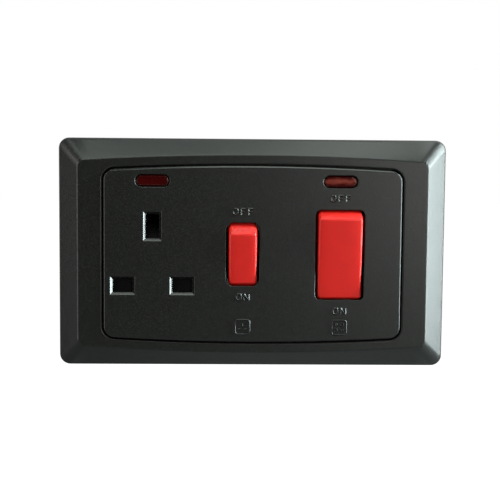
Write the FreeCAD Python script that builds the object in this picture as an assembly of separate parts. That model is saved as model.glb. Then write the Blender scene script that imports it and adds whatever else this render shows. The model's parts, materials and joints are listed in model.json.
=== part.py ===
import FreeCAD
import Part
import math
import os

Vector = FreeCAD.Vector
MITRED = 1
NEAR = 0.01

# Sizes in millimetres. Shapes are drawn lying on their back: x to the right, y up the wall and
# z out from the wall, with the wall plane at z = 0. Each piece is stood up when it is saved.

# Fixing to the wall box
FIXING_PITCH = 120.6
FIXING_HOLE_R = 2.1
FIXING_TO_PLATE = 4.7
FIXING_TO_FRAME_EDGE = 12.7

# Front plate
PLATE_HEIGHT = 66.0
PLATE_BOW = 1.7
PLATE_CORNER_R = 4.2
PLATE_PROUD = 0.5
PLATE_FACE = 2.0
PLATE_EDGE_R = 0.7
SKIRT_WALL = 2.0
FLANGE_THICK = 2.5
FLANGE_BESIDE_HOLE = 5.7
FLANGE_ABOVE_PLATE = 2.5
FLANGE_CORNER_R = 3.0

# Surround frame
FRAME_HEIGHT = 86.0
FRAME_CORNER_R = 4.0
FRAME_EDGE = 2.2
FRAME_DEPTH = 9.0
FRAME_WALL = 1.8
RIM_SIDE = 7.8
RIM_TOP = 6.1
BORDER_BOW = 2.3
BORDER_CORNER_R = 3.0
SHADOW_GAP = 0.5
HOOK_SPREAD = 32.0
HOOK_WIDTH = 6.0
HOOK_THICK = 1.2
HOOK_REACH = 0.8
HOOK_HEIGHT = 0.9
FRAME_REST_SPREAD = 48.0
FRAME_REST_SIZE = 2.0

# Socket layout
SOCKET_FROM_EDGE = 18.2
PIN_PITCH = 22.23
EARTH_PIN_Y = 10.3
LINE_SLOT_W = 7.2
LINE_SLOT_H = 4.9
EARTH_SLOT_W = 4.8
EARTH_SLOT_H = 9.0
SLOT_CHAMFER = 0.75
PIN_THICK = 4.0
PIN_ROOM = 0.3

# Rockers
SOCKET_ROCKER_X = -3.7
COOKER_ROCKER_FROM_EDGE = 23.0
SOCKET_ROCKER_W = 10.5
SOCKET_ROCKER_L = 20.6
SOCKET_ROCKER_RISE = 1.1
SOCKET_TILT = 9.0
COOKER_ROCKER_W = 16.4
COOKER_ROCKER_L = 31.4
COOKER_ROCKER_RISE = 1.2
COOKER_TILT = 7.5
ROCKER_GAP = 0.9
ROCKER_WALL = 1.6
ROCKER_EDGE_R = 1.0
ROCKER_SKIRT = 3.0
PIVOT_DEPTH = 9.0
TRUNNION_R = 1.6
TRUNNION_FIT = 0.05
CHEEK_R = 2.6
EAR_THICK = 2.0
EAR_WALL = 1.6
POLE_PITCH = 10.0

# Plungers and see-saw contacts
PLUNGER_R = 1.5
PLUNGER_FIT = 0.1
PLUNGER_DROP = 8.5
PLUNGER_TOP = 1.0
PLUNGER_ROOM = 0.1
STEM_WALL = 1.1
STEM_DROP = 4.6
STEM_BORE_TOP = 5.0
BLADE_TILT = 8.0
BLADE_W = 5.0
BLADE_T = 1.0
BLADE_LIFT = 0.5
BLADE_LONG = 10.0
BLADE_SHORT = 9.5
KNUCKLE_R = 1.2
KNUCKLE_FIT = 0.08
TIP_R = 1.5
TIP_T = 0.6
TIP_REACH = 8.5
TIP_ROOM = 0.1
FIXED_TIP_H = 0.8
STRIP_T = 0.8
POST_HALF = 2.0

# Terminals
TERMINAL_W = 9.0
TERMINAL_L = 12.0
TERMINAL_IN = 14.0
CABLE_R = 3.1
TERMINAL_CROWN = 1.8
TERMINAL_THREAD = 3.5
TERMINAL_SCREW_R = 2.0
TERMINAL_SCREW_FIT = 0.1
TERMINAL_SCREW_SPREAD = 6.4
TERMINAL_SCREW_PROUD = 1.2
DRIVER_SLOT = 0.8
EARTH_CABLE_PITCH = 9.0
EARTH_TERMINAL_X = -11.0

# Rear base
BASE_WALL = 2.0
BASE_FLOOR = 2.5
BASE_CORNER_R = 4.0
BASE_RIM = 2.6
BASE_RIM_T = 2.2
BASE_SIDE_ROOM = 1.0
WELL_END_ROOM = 2.0
WELL_FIT = 0.15
CABLE_ENTRY_ROOM = 1.1
ACCESS_ROOM = 0.4
CORE_ROOF = 2.0
CORE_RIB = 2.0
CORE_COUNT = 7
BOSS_R = 2.8
BOSS_INSET = 3.0
BASE_SCREW_R = 1.4
BASE_SCREW_FIT = 0.1
BASE_SCREW_HEAD_R = 2.6
BASE_SCREW_HEAD_H = 2.0
BASE_SCREW_SEAT = 4.0
BASE_SCREW_BITE = 9.0

# Links between the supply terminals and the socket side
LINK_W = 3.2
LIVE_LINK_Y = -15.8
NEUTRAL_LINK_Y = -20.0
LINK_BRIDGE = 2.4
LINK_POST = 3.0
STRIP_END_Y = 12.0
EARTH_STRAP_Y = 19.0

# Shutter
SHUTTER_T = 3.4
SHUTTER_ROOM = 0.3
SHUTTER_TRAVEL = 6.0
SHUTTER_LAP = 0.8
SHUTTER_BAR_W = 6.8
SHUTTER_FOOT = 2.0
RETAINER_T = 1.6
RAIL_W = 1.0
RAIL_FIT = 0.25
PEG_R = 1.8
STAKE_R = 1.0
PEG_Y = 3.0
SHUTTER_SPRING_R = 1.7
SHUTTER_SPRING_TURNS = 5
SPRING_WIRE = 0.4
COIL_SIDES = 10
COIL_ROOM = 0.1
SPRING_SEAT_T = 1.5

# Neon indicators
NEON_FROM_TOP = 5.7
LENS_W = 12.8
LENS_H = 4.6
LENS_RECESS = 0.7
LENS_FIT = 0.1
LENS_CHAMFER = 0.6
LENS_LIP = 1.2
LENS_FLANGE = 1.2
LAMP_R = 1.7
LAMP_L = 10.0
LAMP_FIT = 0.1
CRADLE_T = 1.0
CRADLE_SPREAD = 6.4
CRADLE_WALL = 0.7
CRADLE_GRIP = 0.7
LEAD_WIRE = 0.7
LEAD_OUT = 1.4
LEAD_WALL_ROOM = 0.5
LEAD_HEIGHT = 3.2
RESISTOR_R = 1.2
RESISTOR_L = 6.0
PLUNGER_SPRING_TURNS = 4

# Places worked out from the sizes above
PLATE_HALF_W = FIXING_PITCH / 2 - FIXING_TO_PLATE
PLATE_HALF_H = PLATE_HEIGHT / 2
PLATE_Z = FRAME_DEPTH + PLATE_PROUD
UNDER_Z = PLATE_Z - PLATE_FACE
FRAME_HALF_W = FIXING_PITCH / 2 + FIXING_TO_FRAME_EDGE
FRAME_HALF_H = FRAME_HEIGHT / 2
FLANGE_HALF_W = FIXING_PITCH / 2 + FLANGE_BESIDE_HOLE
FLANGE_HALF_H = PLATE_HALF_H + FLANGE_ABOVE_PLATE
SOCKET_X = SOCKET_FROM_EDGE - PLATE_HALF_W
LIVE_X = SOCKET_X + PIN_PITCH / 2
NEUTRAL_X = SOCKET_X - PIN_PITCH / 2
LINE_PIN_Y = EARTH_PIN_Y - PIN_PITCH
COOKER_ROCKER_X = PLATE_HALF_W - COOKER_ROCKER_FROM_EDGE
LIVE_POLE_X = COOKER_ROCKER_X - POLE_PITCH / 2
NEUTRAL_POLE_X = COOKER_ROCKER_X + POLE_PITCH / 2
NEON_Y = PLATE_HALF_H - NEON_FROM_TOP
PIVOT_Z = PLATE_Z - PIVOT_DEPTH
BLADE_TOP = BLADE_LIFT + BLADE_T
BLADE_Z = PIVOT_Z - PLUNGER_DROP - PLUNGER_R - PLUNGER_ROOM - BLADE_TOP
BLADE_SIN = math.sin(math.radians(BLADE_TILT))
BLADE_COS = math.cos(math.radians(BLADE_TILT))
TIP_LOW = (TIP_REACH + TIP_R) * BLADE_SIN + (TIP_T - BLADE_LIFT) * BLADE_COS
FIXED_TIP_Z = BLADE_Z - TIP_LOW - TIP_ROOM
STRIP_Z = FIXED_TIP_Z - FIXED_TIP_H
DECK_Z = STRIP_Z - STRIP_T
CABLE_Z = DECK_Z - TERMINAL_CROWN - CABLE_R
FLOOR_Z = CABLE_Z - CABLE_R - TERMINAL_THREAD
REAR_Z = FLOOR_Z - BASE_FLOOR
BASE_IN_W = PIN_PITCH / 2 - SOCKET_X + BLADE_W / 2 + BASE_SIDE_ROOM
BASE_IN_H = TERMINAL_IN + TERMINAL_L + WELL_END_ROOM
BASE_HALF_W = BASE_IN_W + BASE_WALL
BASE_HALF_H = BASE_IN_H + BASE_WALL
TERMINAL_MID = TERMINAL_IN + TERMINAL_L / 2
EARTH_TERMINAL_W = TERMINAL_W + EARTH_CABLE_PITCH
BOSS_X = BASE_IN_W - BOSS_INSET
BOSS_Y = BASE_IN_H - BOSS_INSET
BOSS_FOOT_Z = DECK_Z
SHUTTER_TOP = UNDER_Z - SHUTTER_ROOM
SHUTTER_BOTTOM = SHUTTER_TOP - SHUTTER_T
RETAINER_TOP = SHUTTER_BOTTOM - SHUTTER_ROOM
RETAINER_BOTTOM = RETAINER_TOP - RETAINER_T
CONTACT_TOP = RETAINER_BOTTOM - SHUTTER_ROOM
LAMP_Z = UNDER_Z - LENS_FLANGE - LAMP_R - LAMP_FIT


def box(x0, x1, y0, y1, z0, z1):
    return Part.makeBox(x1 - x0, y1 - y0, z1 - z0, Vector(x0, y0, z0))


def rod_x(radius, x0, x1, y, z):
    return Part.makeCylinder(radius, x1 - x0, Vector(x0, y, z), Vector(1, 0, 0))


def rod_y(radius, x, y0, y1, z):
    return Part.makeCylinder(radius, y1 - y0, Vector(x, y0, z), Vector(0, 1, 0))


def rod_z(radius, x, y, z0, z1):
    return Part.makeCylinder(radius, z1 - z0, Vector(x, y, z0), Vector(0, 0, 1))


def fuse(first, *rest):
    return first.multiFuse(list(rest)).removeSplitter() if rest else first


def cut(shape, *tools):
    return shape.cut(list(tools)).removeSplitter()


def prism(corners, push):
    """Solid from a closed outline of corner vectors, pushed along one vector."""
    return Part.Face(Part.makePolygon(corners + corners[:1])).extrude(push)


def side_prism(outline, x0, x1):
    """Solid with a side outline of (y, z) corners, from x0 to x1."""
    return prism([Vector(x0, y, z) for y, z in outline], Vector(x1 - x0, 0, 0))


def plan_prism(outline, z0, z1):
    """Solid with a plan outline of (x, y) corners, from z0 to z1."""
    return prism([Vector(x, y, z0) for x, y in outline], Vector(0, 0, z1 - z0))


def end_prism(outline, y0, y1):
    """Solid with an outline of (x, z) corners, from y0 to y1."""
    return prism([Vector(x, y0, z) for x, z in outline], Vector(0, y1 - y0, 0))


def corner_wire(side, middle, end, crown, z):
    """Closed outline mirrored in x and y from one corner: the end of the straight side, the
    middle of the corner arc, the end of the corner arc and the crown of the long side."""
    (sx, sy), (mx, my), (ex, ey) = side, middle, end

    def at(x, y):
        return Vector(x, y, z)

    def long_side(sign):
        first, last = at(sign * ex, sign * ey), at(-sign * ex, sign * ey)
        if abs(crown - ey) < 1e-6:
            return Part.LineSegment(first, last).toShape()
        return Part.Arc(first, at(0, sign * crown), last).toShape()

    edges = [
        Part.LineSegment(at(sx, -sy), at(sx, sy)).toShape(),
        Part.Arc(at(sx, sy), at(mx, my), at(ex, ey)).toShape(),
        long_side(1),
        Part.Arc(at(-ex, ey), at(-mx, my), at(-sx, sy)).toShape(),
        Part.LineSegment(at(-sx, sy), at(-sx, -sy)).toShape(),
        Part.Arc(at(-sx, -sy), at(-mx, -my), at(-ex, -ey)).toShape(),
        long_side(-1),
        Part.Arc(at(ex, -ey), at(mx, -my), at(sx, -sy)).toShape(),
    ]
    return Part.Wire(edges)


def round_wire(half_w, half_h, corner_r, z):
    """Rounded rectangle about the origin."""
    middle = corner_r * (1 - math.sqrt(0.5))
    return corner_wire(
        (half_w, half_h - corner_r),
        (half_w - middle, half_h - middle),
        (half_w - corner_r, half_h),
        half_h,
        z,
    )


def bowed_wire(half_w, half_h, bow, corner_r, z):
    """Outline with straight ends and long sides bowed outwards, half_h high at the middle."""
    bow_r = (half_w**2 + bow**2) / (2 * bow)
    bow_y = half_h - bow_r
    fillet_x = half_w - corner_r
    fillet_y = bow_y + math.sqrt((bow_r - corner_r) ** 2 - fillet_x**2)
    lean = math.atan2(fillet_y - bow_y, fillet_x)
    return corner_wire(
        (half_w, fillet_y),
        (fillet_x + corner_r * math.cos(lean / 2), fillet_y + corner_r * math.sin(lean / 2)),
        (bow_r * math.cos(lean), bow_y + bow_r * math.sin(lean)),
        half_h,
        z,
    )


def slab(wire, height):
    return Part.Face(wire).extrude(Vector(0, 0, height))


def plate_block(inset, z0, z1):
    """Solid with the front plate's bowed outline, moved in by inset."""
    corner_r = max(PLATE_CORNER_R - inset, 0.5)
    wire = bowed_wire(PLATE_HALF_W - inset, PLATE_HALF_H - inset, PLATE_BOW, corner_r, z0)
    return slab(wire, z1 - z0)


def rounded_block(x, y, half_w, half_h, corner_r, z0, z1):
    block = slab(round_wire(half_w, half_h, corner_r, z0), z1 - z0)
    block.translate(Vector(x, y, 0))
    return block


def obround(x, y, width, height, z0, z1):
    reach = (width - height) / 2
    ends = [rod_z(height / 2, x + side * reach, y, z0, z1) for side in (-1, 1)]
    return fuse(box(x - reach, x + reach, y - height / 2, y + height / 2, z0, z1), *ends)


def level_edges(shape, z):
    """Edges of a shape that lie level at one height."""
    spans = [(edge, edge.BoundBox) for edge in shape.Edges]
    return [edge for edge, span in spans if max(abs(span.ZMin - z), abs(span.ZMax - z)) < NEAR]


def frame_form(inset, z0, edge, top):
    """Solid inside the frame's faces: a straight edge, then the sloping rim up to the border."""
    half_w, half_h = FRAME_HALF_W - inset, FRAME_HALF_H - inset
    corner_r = FRAME_CORNER_R - inset
    border = bowed_wire(
        FRAME_HALF_W - RIM_SIDE - inset,
        FRAME_HALF_H - RIM_TOP - inset,
        BORDER_BOW,
        BORDER_CORNER_R,
        top,
    )
    foot = slab(round_wire(half_w, half_h, corner_r, z0), edge - z0)
    slope = Part.makeLoft([round_wire(half_w, half_h, corner_r, edge), border], True, True)
    return fuse(foot, slope)


def hook_places():
    return [(sx * HOOK_SPREAD, sy) for sx in (-1, 1) for sy in (-1, 1)]


def surround_frame():
    """Clip-on frame: shell, window for the plate, snap hooks and the feet that rest on the flange."""
    inner_edge = FRAME_EDGE - FRAME_WALL / 2
    inner_top = FRAME_DEPTH - FRAME_WALL
    shell = frame_form(0, 0, FRAME_EDGE, FRAME_DEPTH)
    hollow = frame_form(FRAME_WALL, -1, inner_edge, inner_top)
    shell = shell.cut([hollow, plate_block(-SHADOW_GAP, -1, FRAME_DEPTH + 1)])
    arm_in = FLANGE_HALF_H + SHADOW_GAP / 2
    arm_out = arm_in + HOOK_THICK
    added = []
    for x, sy in hook_places():
        left, right = x - HOOK_WIDTH / 2, x + HOOK_WIDTH / 2
        foot_z = SHADOW_GAP / 2
        arm = [
            (sy * arm_out, foot_z),
            (sy * (arm_in - HOOK_REACH), foot_z + HOOK_HEIGHT / 3),
            (sy * (arm_in - HOOK_REACH), foot_z + HOOK_HEIGHT),
            (sy * arm_in, foot_z + HOOK_HEIGHT),
            (sy * arm_in, inner_top + FRAME_WALL / 3),
            (sy * arm_out, inner_top + FRAME_WALL / 3),
        ]
        added.append(side_prism(arm, left, right))
    for sx in (-1, 1):
        for sy in (-1, 1):
            x, y = sx * FRAME_REST_SPREAD, sy * (FLANGE_HALF_H - FRAME_REST_SIZE)
            half = FRAME_REST_SIZE / 2
            added.append(box(x - half, x + half, y - half, y + half, FLANGE_THICK, FRAME_DEPTH - 1))
    return fuse(shell, *added)


def pin_slots():
    """Place and size of the live, neutral and earth slots: x, y, width, height."""
    return [
        (LIVE_X, LINE_PIN_Y, LINE_SLOT_W, LINE_SLOT_H),
        (NEUTRAL_X, LINE_PIN_Y, LINE_SLOT_W, LINE_SLOT_H),
        (SOCKET_X, EARTH_PIN_Y, EARTH_SLOT_W, EARTH_SLOT_H),
    ]


def rectangle_wire(x, y, half_w, half_h, z):
    corners = [(-1, -1), (1, -1), (1, 1), (-1, 1), (-1, -1)]
    return Part.makePolygon([Vector(x + i * half_w, y + j * half_h, z) for i, j in corners])


def slot_cutter(x, y, width, height, z0):
    """Straight slot from z0 up to the plate's face, with its mouth chamfered all round."""
    low = rectangle_wire(x, y, width / 2, height / 2, PLATE_Z - SLOT_CHAMFER)
    high = rectangle_wire(
        x, y, width / 2 + SLOT_CHAMFER, height / 2 + SLOT_CHAMFER, PLATE_Z
    )
    mouth = Part.makeLoft([low, high], True, True)
    half_w, half_h = width / 2, height / 2
    return fuse(box(x - half_w, x + half_w, y - half_h, y + half_h, z0, PLATE_Z), mouth)


def end_radius(length):
    """Radius of a rocker's end walls about its pivot, from its length at the plate's face."""
    return math.hypot(length / 2, PIVOT_DEPTH)


def rocker_opening(x, width, length):
    """Opening whose end walls follow the rocker's own arcs, so that its gap stays even."""
    half = width / 2 + ROCKER_GAP
    drum = rod_x(end_radius(length) + ROCKER_GAP, x - half, x + half, 0, PIVOT_Z)
    rims = [e for e in drum.Edges if len(e.Vertexes) == 1]
    return drum.makeFillet(ROCKER_EDGE_R + ROCKER_GAP, rims)


def rocker_ears(x, width):
    """Two bearing ears behind the plate, one each side of a rocker."""
    ears = []
    reach = TRUNNION_R + TRUNNION_FIT + EAR_WALL
    for side in (-1, 1):
        near = x + side * (width / 2 + ROCKER_GAP)
        far = near + side * EAR_THICK
        x0, x1 = min(near, far), max(near, far)
        ear = fuse(
            box(x0, x1, -reach, reach, PIVOT_Z, UNDER_Z + PLATE_FACE / 2),
            rod_x(reach, x0, x1, 0, PIVOT_Z),
        )
        ears.append(cut(ear, rod_x(TRUNNION_R + TRUNNION_FIT, x0 - 1, x1 + 1, 0, PIVOT_Z)))
    return ears


def boss_places():
    return [(sx * BOSS_X, sy * BOSS_Y) for sx in (-1, 1) for sy in (-1, 1)]


def shutter_reach():
    """Left and right ends of the shutter's cross bar, and its bottom and top, at rest."""
    left = NEUTRAL_X - LINE_SLOT_W / 2 - SHUTTER_LAP
    right = LIVE_X + LINE_SLOT_W / 2 + SHUTTER_LAP
    bottom = LINE_PIN_Y - LINE_SLOT_H / 2 - SHUTTER_LAP
    top = LINE_PIN_Y + LINE_SLOT_H / 2 + SHUTTER_LAP
    return left, right, bottom, top


def shutter_foot_y():
    return shutter_reach()[2] - SHUTTER_FOOT


def spring_seat_y():
    """Face of the spring's seat, which stands clear of the bowed skirt."""
    return SPRING_SEAT_T + PLATE_BOW + SKIRT_WALL - PLATE_HALF_H


def peg_places():
    left, right, _, _ = shutter_reach()
    return [(left + PEG_R, PEG_Y), (right - PEG_R, PEG_Y)]


def shutter_guides():
    """Behind the plate: rails beside the shutter, pegs for its retainer and the spring's seat."""
    inner = SHUTTER_BAR_W / 2 + RAIL_FIT
    rail_top = EARTH_PIN_Y - EARTH_SLOT_H / 2
    rail_bottom = shutter_reach()[3] + SHUTTER_LAP
    into = UNDER_Z + PLATE_FACE / 2
    guides = []
    for side in (-1, 1):
        x0, x1 = sorted((SOCKET_X + side * inner, SOCKET_X + side * (inner + RAIL_W)))
        guides.append(box(x0, x1, rail_bottom, rail_top, SHUTTER_BOTTOM, into))
    for x, y in peg_places():
        guides.append(rod_z(PEG_R, x, y, RETAINER_TOP, into))
        guides.append(rod_z(STAKE_R, x, y, RETAINER_BOTTOM, RETAINER_TOP))
    seat = spring_seat_y()
    half = SHUTTER_SPRING_R + RAIL_W
    guides.append(
        box(SOCKET_X - half, SOCKET_X + half, seat - SPRING_SEAT_T, seat, RETAINER_TOP, into)
    )
    return guides


def front_plate():
    """Function plate: bowed face and skirt, fixing flange, bearing ears, bosses and shutter guides."""
    face = plate_block(0, 0, PLATE_Z)
    face = face.makeFillet(PLATE_EDGE_R, level_edges(face, PLATE_Z))
    flange = slab(round_wire(FLANGE_HALF_W, FLANGE_HALF_H, FLANGE_CORNER_R, 0), FLANGE_THICK)
    shell = fuse(face, flange)
    cutters = [plate_block(SKIRT_WALL, -1, UNDER_Z)]
    cutters += [
        rod_z(FIXING_HOLE_R, side * FIXING_PITCH / 2, 0, -1, FLANGE_THICK + 1) for side in (-1, 1)
    ]
    cutters += [slot_cutter(*slot, UNDER_Z - 1) for slot in pin_slots()]
    cutters.append(rocker_opening(SOCKET_ROCKER_X, SOCKET_ROCKER_W, SOCKET_ROCKER_L))
    cutters.append(rocker_opening(COOKER_ROCKER_X, COOKER_ROCKER_W, COOKER_ROCKER_L))
    cutters += [
        obround(x, NEON_Y, LENS_W, LENS_H, UNDER_Z - 1, PLATE_Z + 1)
        for x in (SOCKET_X, COOKER_ROCKER_X)
    ]
    nib_room = HOOK_REACH + SHADOW_GAP
    for x, sy in hook_places():
        y0, y1 = sorted((sy * (FLANGE_HALF_H - nib_room), sy * (FLANGE_HALF_H + 1)))
        half = HOOK_WIDTH / 2 + SHADOW_GAP
        cutters.append(box(x - half, x + half, y0, y1, -1, HOOK_HEIGHT + SHADOW_GAP))
    shell = shell.cut(cutters)
    bosses = []
    for x, y in boss_places():
        boss = rod_z(BOSS_R, x, y, BOSS_FOOT_Z, UNDER_Z + PLATE_FACE / 2)
        pilot = rod_z(BASE_SCREW_R, x, y, BOSS_FOOT_Z - 1, BOSS_FOOT_Z + BASE_SCREW_BITE)
        bosses.append(boss.cut(pilot))
    ears = rocker_ears(SOCKET_ROCKER_X, SOCKET_ROCKER_W)
    ears += rocker_ears(COOKER_ROCKER_X, COOKER_ROCKER_W)
    return fuse(shell, *ears, *bosses, *shutter_guides())


def drum_section(x, width, radius, low, high):
    """Slice of a drum about the rocker's pivot, between two heights above the pivot."""
    drum = rod_x(radius, x - width / 2, x + width / 2, 0, PIVOT_Z)
    slice_box = box(
        x - width, x + width, -2 * radius, 2 * radius, PIVOT_Z + low, PIVOT_Z + high
    )
    return drum.common(slice_box)


def rocker(x, width, length, rise, stems):
    """Hollow rocker, level: crowned ends, cheeks with trunnions, and a stem for each plunger."""
    radius = end_radius(length)
    crown = PIVOT_DEPTH + rise
    body = drum_section(x, width, radius, ROCKER_SKIRT, crown)
    skirt_z = PIVOT_Z + ROCKER_SKIRT
    outer_edges = [e for e in body.Edges if e.BoundBox.ZMax > skirt_z + NEAR]
    body = body.makeFillet(ROCKER_EDGE_R, outer_edges)
    hollow = drum_section(
        x,
        width - 2 * ROCKER_WALL,
        radius - ROCKER_WALL,
        ROCKER_SKIRT - 1,
        crown - ROCKER_WALL,
    )
    body = body.cut(hollow)
    added = []
    for side in (-1, 1):
        outer = x + side * width / 2
        x0, x1 = sorted((outer, outer - side * ROCKER_WALL))
        added.append(box(x0, x1, -CHEEK_R, CHEEK_R, PIVOT_Z, skirt_z + ROCKER_WALL))
        added.append(rod_x(CHEEK_R, x0, x1, 0, PIVOT_Z))
        tip = outer + side * (ROCKER_GAP + EAR_THICK)
        x0, x1 = sorted((outer - side * ROCKER_WALL, tip))
        added.append(rod_x(TRUNNION_R, x0, x1, 0, PIVOT_Z))
    bore_r = PLUNGER_R + PLUNGER_FIT
    bores = []
    for stem_x in stems:
        top = PIVOT_Z + crown - ROCKER_WALL / 2
        added.append(rod_z(bore_r + STEM_WALL, stem_x, 0, PIVOT_Z - STEM_DROP, top))
        low = PIVOT_Z - STEM_DROP - 1
        bores.append(rod_z(bore_r, stem_x, 0, low, PIVOT_Z + STEM_BORE_TOP))
    return cut(fuse(body, *added), *bores)


def plunger(x):
    """Plunger in its stem, level, with a nose that is round where it rides on the see-saw."""
    nose_z = PIVOT_Z - PLUNGER_DROP
    shank = rod_z(PLUNGER_R, x, 0, nose_z, PIVOT_Z - PLUNGER_TOP)
    nose = rod_z(PLUNGER_R, x, 0, nose_z - PLUNGER_R, nose_z)
    nose = nose.common(rod_x(PLUNGER_R, x - PLUNGER_R, x + PLUNGER_R, 0, nose_z))
    return fuse(shank, nose)


def square_section(middle, across, up, side):
    half = side / 2
    corners = [(-half, -half), (half, -half), (half, half), (-half, half), (-half, -half)]
    return Part.makePolygon([middle + across * i + up * j for i, j in corners])


def swept(points, section):
    """Section carried along straight stretches, with mitred corners."""
    path = Part.Wire(Part.makePolygon(points))
    return path.makePipeShell([section], True, False, MITRED)


def coil(radius, length, turns):
    """Spring of square wire along z from the origin, in short straight stretches."""
    half = SPRING_WIRE / 2
    mean = radius - half
    steps = turns * COIL_SIDES
    rise = (length - SPRING_WIRE - 2 * COIL_ROOM) / steps
    low = COIL_ROOM + half
    points = []
    for i in range(steps + 1):
        angle = 2 * math.pi * i / COIL_SIDES
        points.append(Vector(mean * math.cos(angle), mean * math.sin(angle), low + rise * i))
    section = square_section(points[0], Vector(1, 0, 0), Vector(0, 0, 1), SPRING_WIRE)
    return swept(points, section)


def plunger_spring(x):
    """Spring between a plunger and the end of its bore, level."""
    spring = coil(PLUNGER_R, STEM_BORE_TOP + PLUNGER_TOP, PLUNGER_SPRING_TURNS)
    spring.translate(Vector(x, 0, PIVOT_Z - PLUNGER_TOP))
    return spring


def tilted(shape, angle, z):
    shape.rotate(Vector(0, 0, z), Vector(1, 0, 0), angle)
    return shape


def blade(x):
    """See-saw contact in its closed pose: a strip with a round knuckle on its rocking axis."""
    z0, z1 = BLADE_Z + BLADE_LIFT, BLADE_Z + BLADE_TOP
    half = BLADE_W / 2
    strip = box(x - half, x + half, -BLADE_SHORT, BLADE_LONG, z0, z1)
    knuckle = rod_x(KNUCKLE_R, x - half, x + half, 0, BLADE_Z)
    return tilted(fuse(strip, knuckle), -BLADE_TILT, BLADE_Z)


def moving_tip(x):
    top = BLADE_Z + BLADE_LIFT
    return tilted(rod_z(TIP_R, x, TIP_REACH, top - TIP_T, top), -BLADE_TILT, BLADE_Z)


def fixed_tip(x):
    return rod_z(TIP_R, x, TIP_REACH, STRIP_Z, FIXED_TIP_Z)


def fulcrum(x, tail_y):
    """Cradle of a see-saw on a strip that runs down to tail_y."""
    outline = [
        (tail_y, DECK_Z),
        (POST_HALF, DECK_Z),
        (POST_HALF, BLADE_Z),
        (-POST_HALF, BLADE_Z),
        (-POST_HALF, STRIP_Z),
        (tail_y, STRIP_Z),
    ]
    half = BLADE_W / 2
    groove = rod_x(KNUCKLE_R + KNUCKLE_FIT, x - half - 1, x + half + 1, 0, BLADE_Z)
    return side_prism(outline, x - half, x + half).cut(groove)


def fixed_contact(x):
    """Strip from under a fixed tip out over its terminal, long enough for an indicator lead."""
    half = BLADE_W / 2
    end = BASE_IN_H - WELL_FIT
    return box(x - half, x + half, TIP_REACH - TIP_R, end, DECK_Z, STRIP_Z)


def leaf(gap):
    """Outline of one contact leaf with a flared lip, as (offset, height) corners."""
    inner = gap / 2
    flare = STRIP_T
    lip = CONTACT_TOP - 2 * flare
    return [
        (inner, DECK_Z),
        (inner, lip),
        (inner + flare, CONTACT_TOP),
        (inner + 2 * flare, CONTACT_TOP),
        (inner + STRIP_T, lip),
        (inner + STRIP_T, DECK_Z),
    ]


def line_clip(x):
    """Two leaves above and below a live or neutral pin."""
    half = LINE_SLOT_W / 2 - SLOT_CHAMFER
    profile = leaf(PIN_THICK + PIN_ROOM)
    return [
        side_prism([(LINE_PIN_Y + side * y, z) for y, z in profile], x - half, x + half)
        for side in (-1, 1)
    ]


def socket_live_contact():
    """Pin clip and the flat strip that carries the socket switch's fixed tip."""
    half = BLADE_W / 2
    near = TIP_REACH - TIP_R
    low = LINE_PIN_Y - PIN_THICK
    plan = [
        (SOCKET_ROCKER_X + half, near),
        (SOCKET_ROCKER_X + half, STRIP_END_Y),
        (LIVE_X - half, STRIP_END_Y),
        (LIVE_X - half, low),
        (LIVE_X + half, low),
        (LIVE_X + half, near),
    ]
    return fuse(plan_prism(plan, DECK_Z, STRIP_Z), *line_clip(LIVE_X))


def socket_neutral_contact():
    """Pin clip on a straight strip that ends under the neutral link."""
    half = BLADE_W / 2
    low = NEUTRAL_LINK_Y - LINK_W / 2
    strip = box(NEUTRAL_X - half, NEUTRAL_X + half, low, STRIP_END_Y, DECK_Z, STRIP_Z)
    return fuse(strip, *line_clip(NEUTRAL_X))


def earth_terminal_span():
    half = EARTH_TERMINAL_W / 2
    return EARTH_TERMINAL_X - half, EARTH_TERMINAL_X + half


def socket_earth_contact():
    """Earth pin clip with leaves at its sides, and the strap to the earth terminal."""
    profile = leaf(PIN_THICK + PIN_ROOM)
    half_h = EARTH_SLOT_H / 2 - SLOT_CHAMFER
    y0, y1 = EARTH_PIN_Y - half_h, EARTH_PIN_Y + half_h
    leaves = [
        end_prism([(SOCKET_X + side * x, z) for x, z in profile], y0, y1) for side in (-1, 1)
    ]
    reach = PIN_THICK / 2 + PIN_ROOM + STRIP_T
    half = LINK_W / 2
    right = earth_terminal_span()[1] - TERMINAL_W / 4
    plan = [
        (SOCKET_X - reach, y0),
        (SOCKET_X + reach, y0),
        (SOCKET_X + reach, EARTH_STRAP_Y - half),
        (right, EARTH_STRAP_Y - half),
        (right, EARTH_STRAP_Y + half),
        (SOCKET_X - reach, EARTH_STRAP_Y + half),
    ]
    return fuse(plan_prism(plan, DECK_Z, STRIP_Z), *leaves)


def live_link():
    """Flat link from the supply's live strip to the socket switch."""
    half = BLADE_W / 2
    y0, y1 = LIVE_LINK_Y - LINK_W / 2, LIVE_LINK_Y + LINK_W / 2
    left, right = SOCKET_ROCKER_X - half, LIVE_POLE_X + half
    return box(left, right, y0, y1, STRIP_Z, STRIP_Z + STRIP_T)


def neutral_link():
    """Bridge-shaped link that crosses over the live strip to the socket's neutral strip."""
    low, high = STRIP_Z, STRIP_Z + LINK_BRIDGE
    half = BLADE_W / 2
    left, right = NEUTRAL_X - half, NEUTRAL_POLE_X + half
    left_rise, right_rise = NEUTRAL_X + half, NEUTRAL_POLE_X - half
    outline = [
        (left, low),
        (left_rise, low),
        (left_rise, high),
        (right_rise, high),
        (right_rise, low),
        (right, low),
        (right, low + STRIP_T),
        (right_rise + STRIP_T, low + STRIP_T),
        (right_rise + STRIP_T, high + STRIP_T),
        (left_rise - STRIP_T, high + STRIP_T),
        (left_rise - STRIP_T, low + STRIP_T),
        (left, low + STRIP_T),
    ]
    return end_prism(outline, NEUTRAL_LINK_Y - LINK_W / 2, NEUTRAL_LINK_Y + LINK_W / 2)


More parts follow.
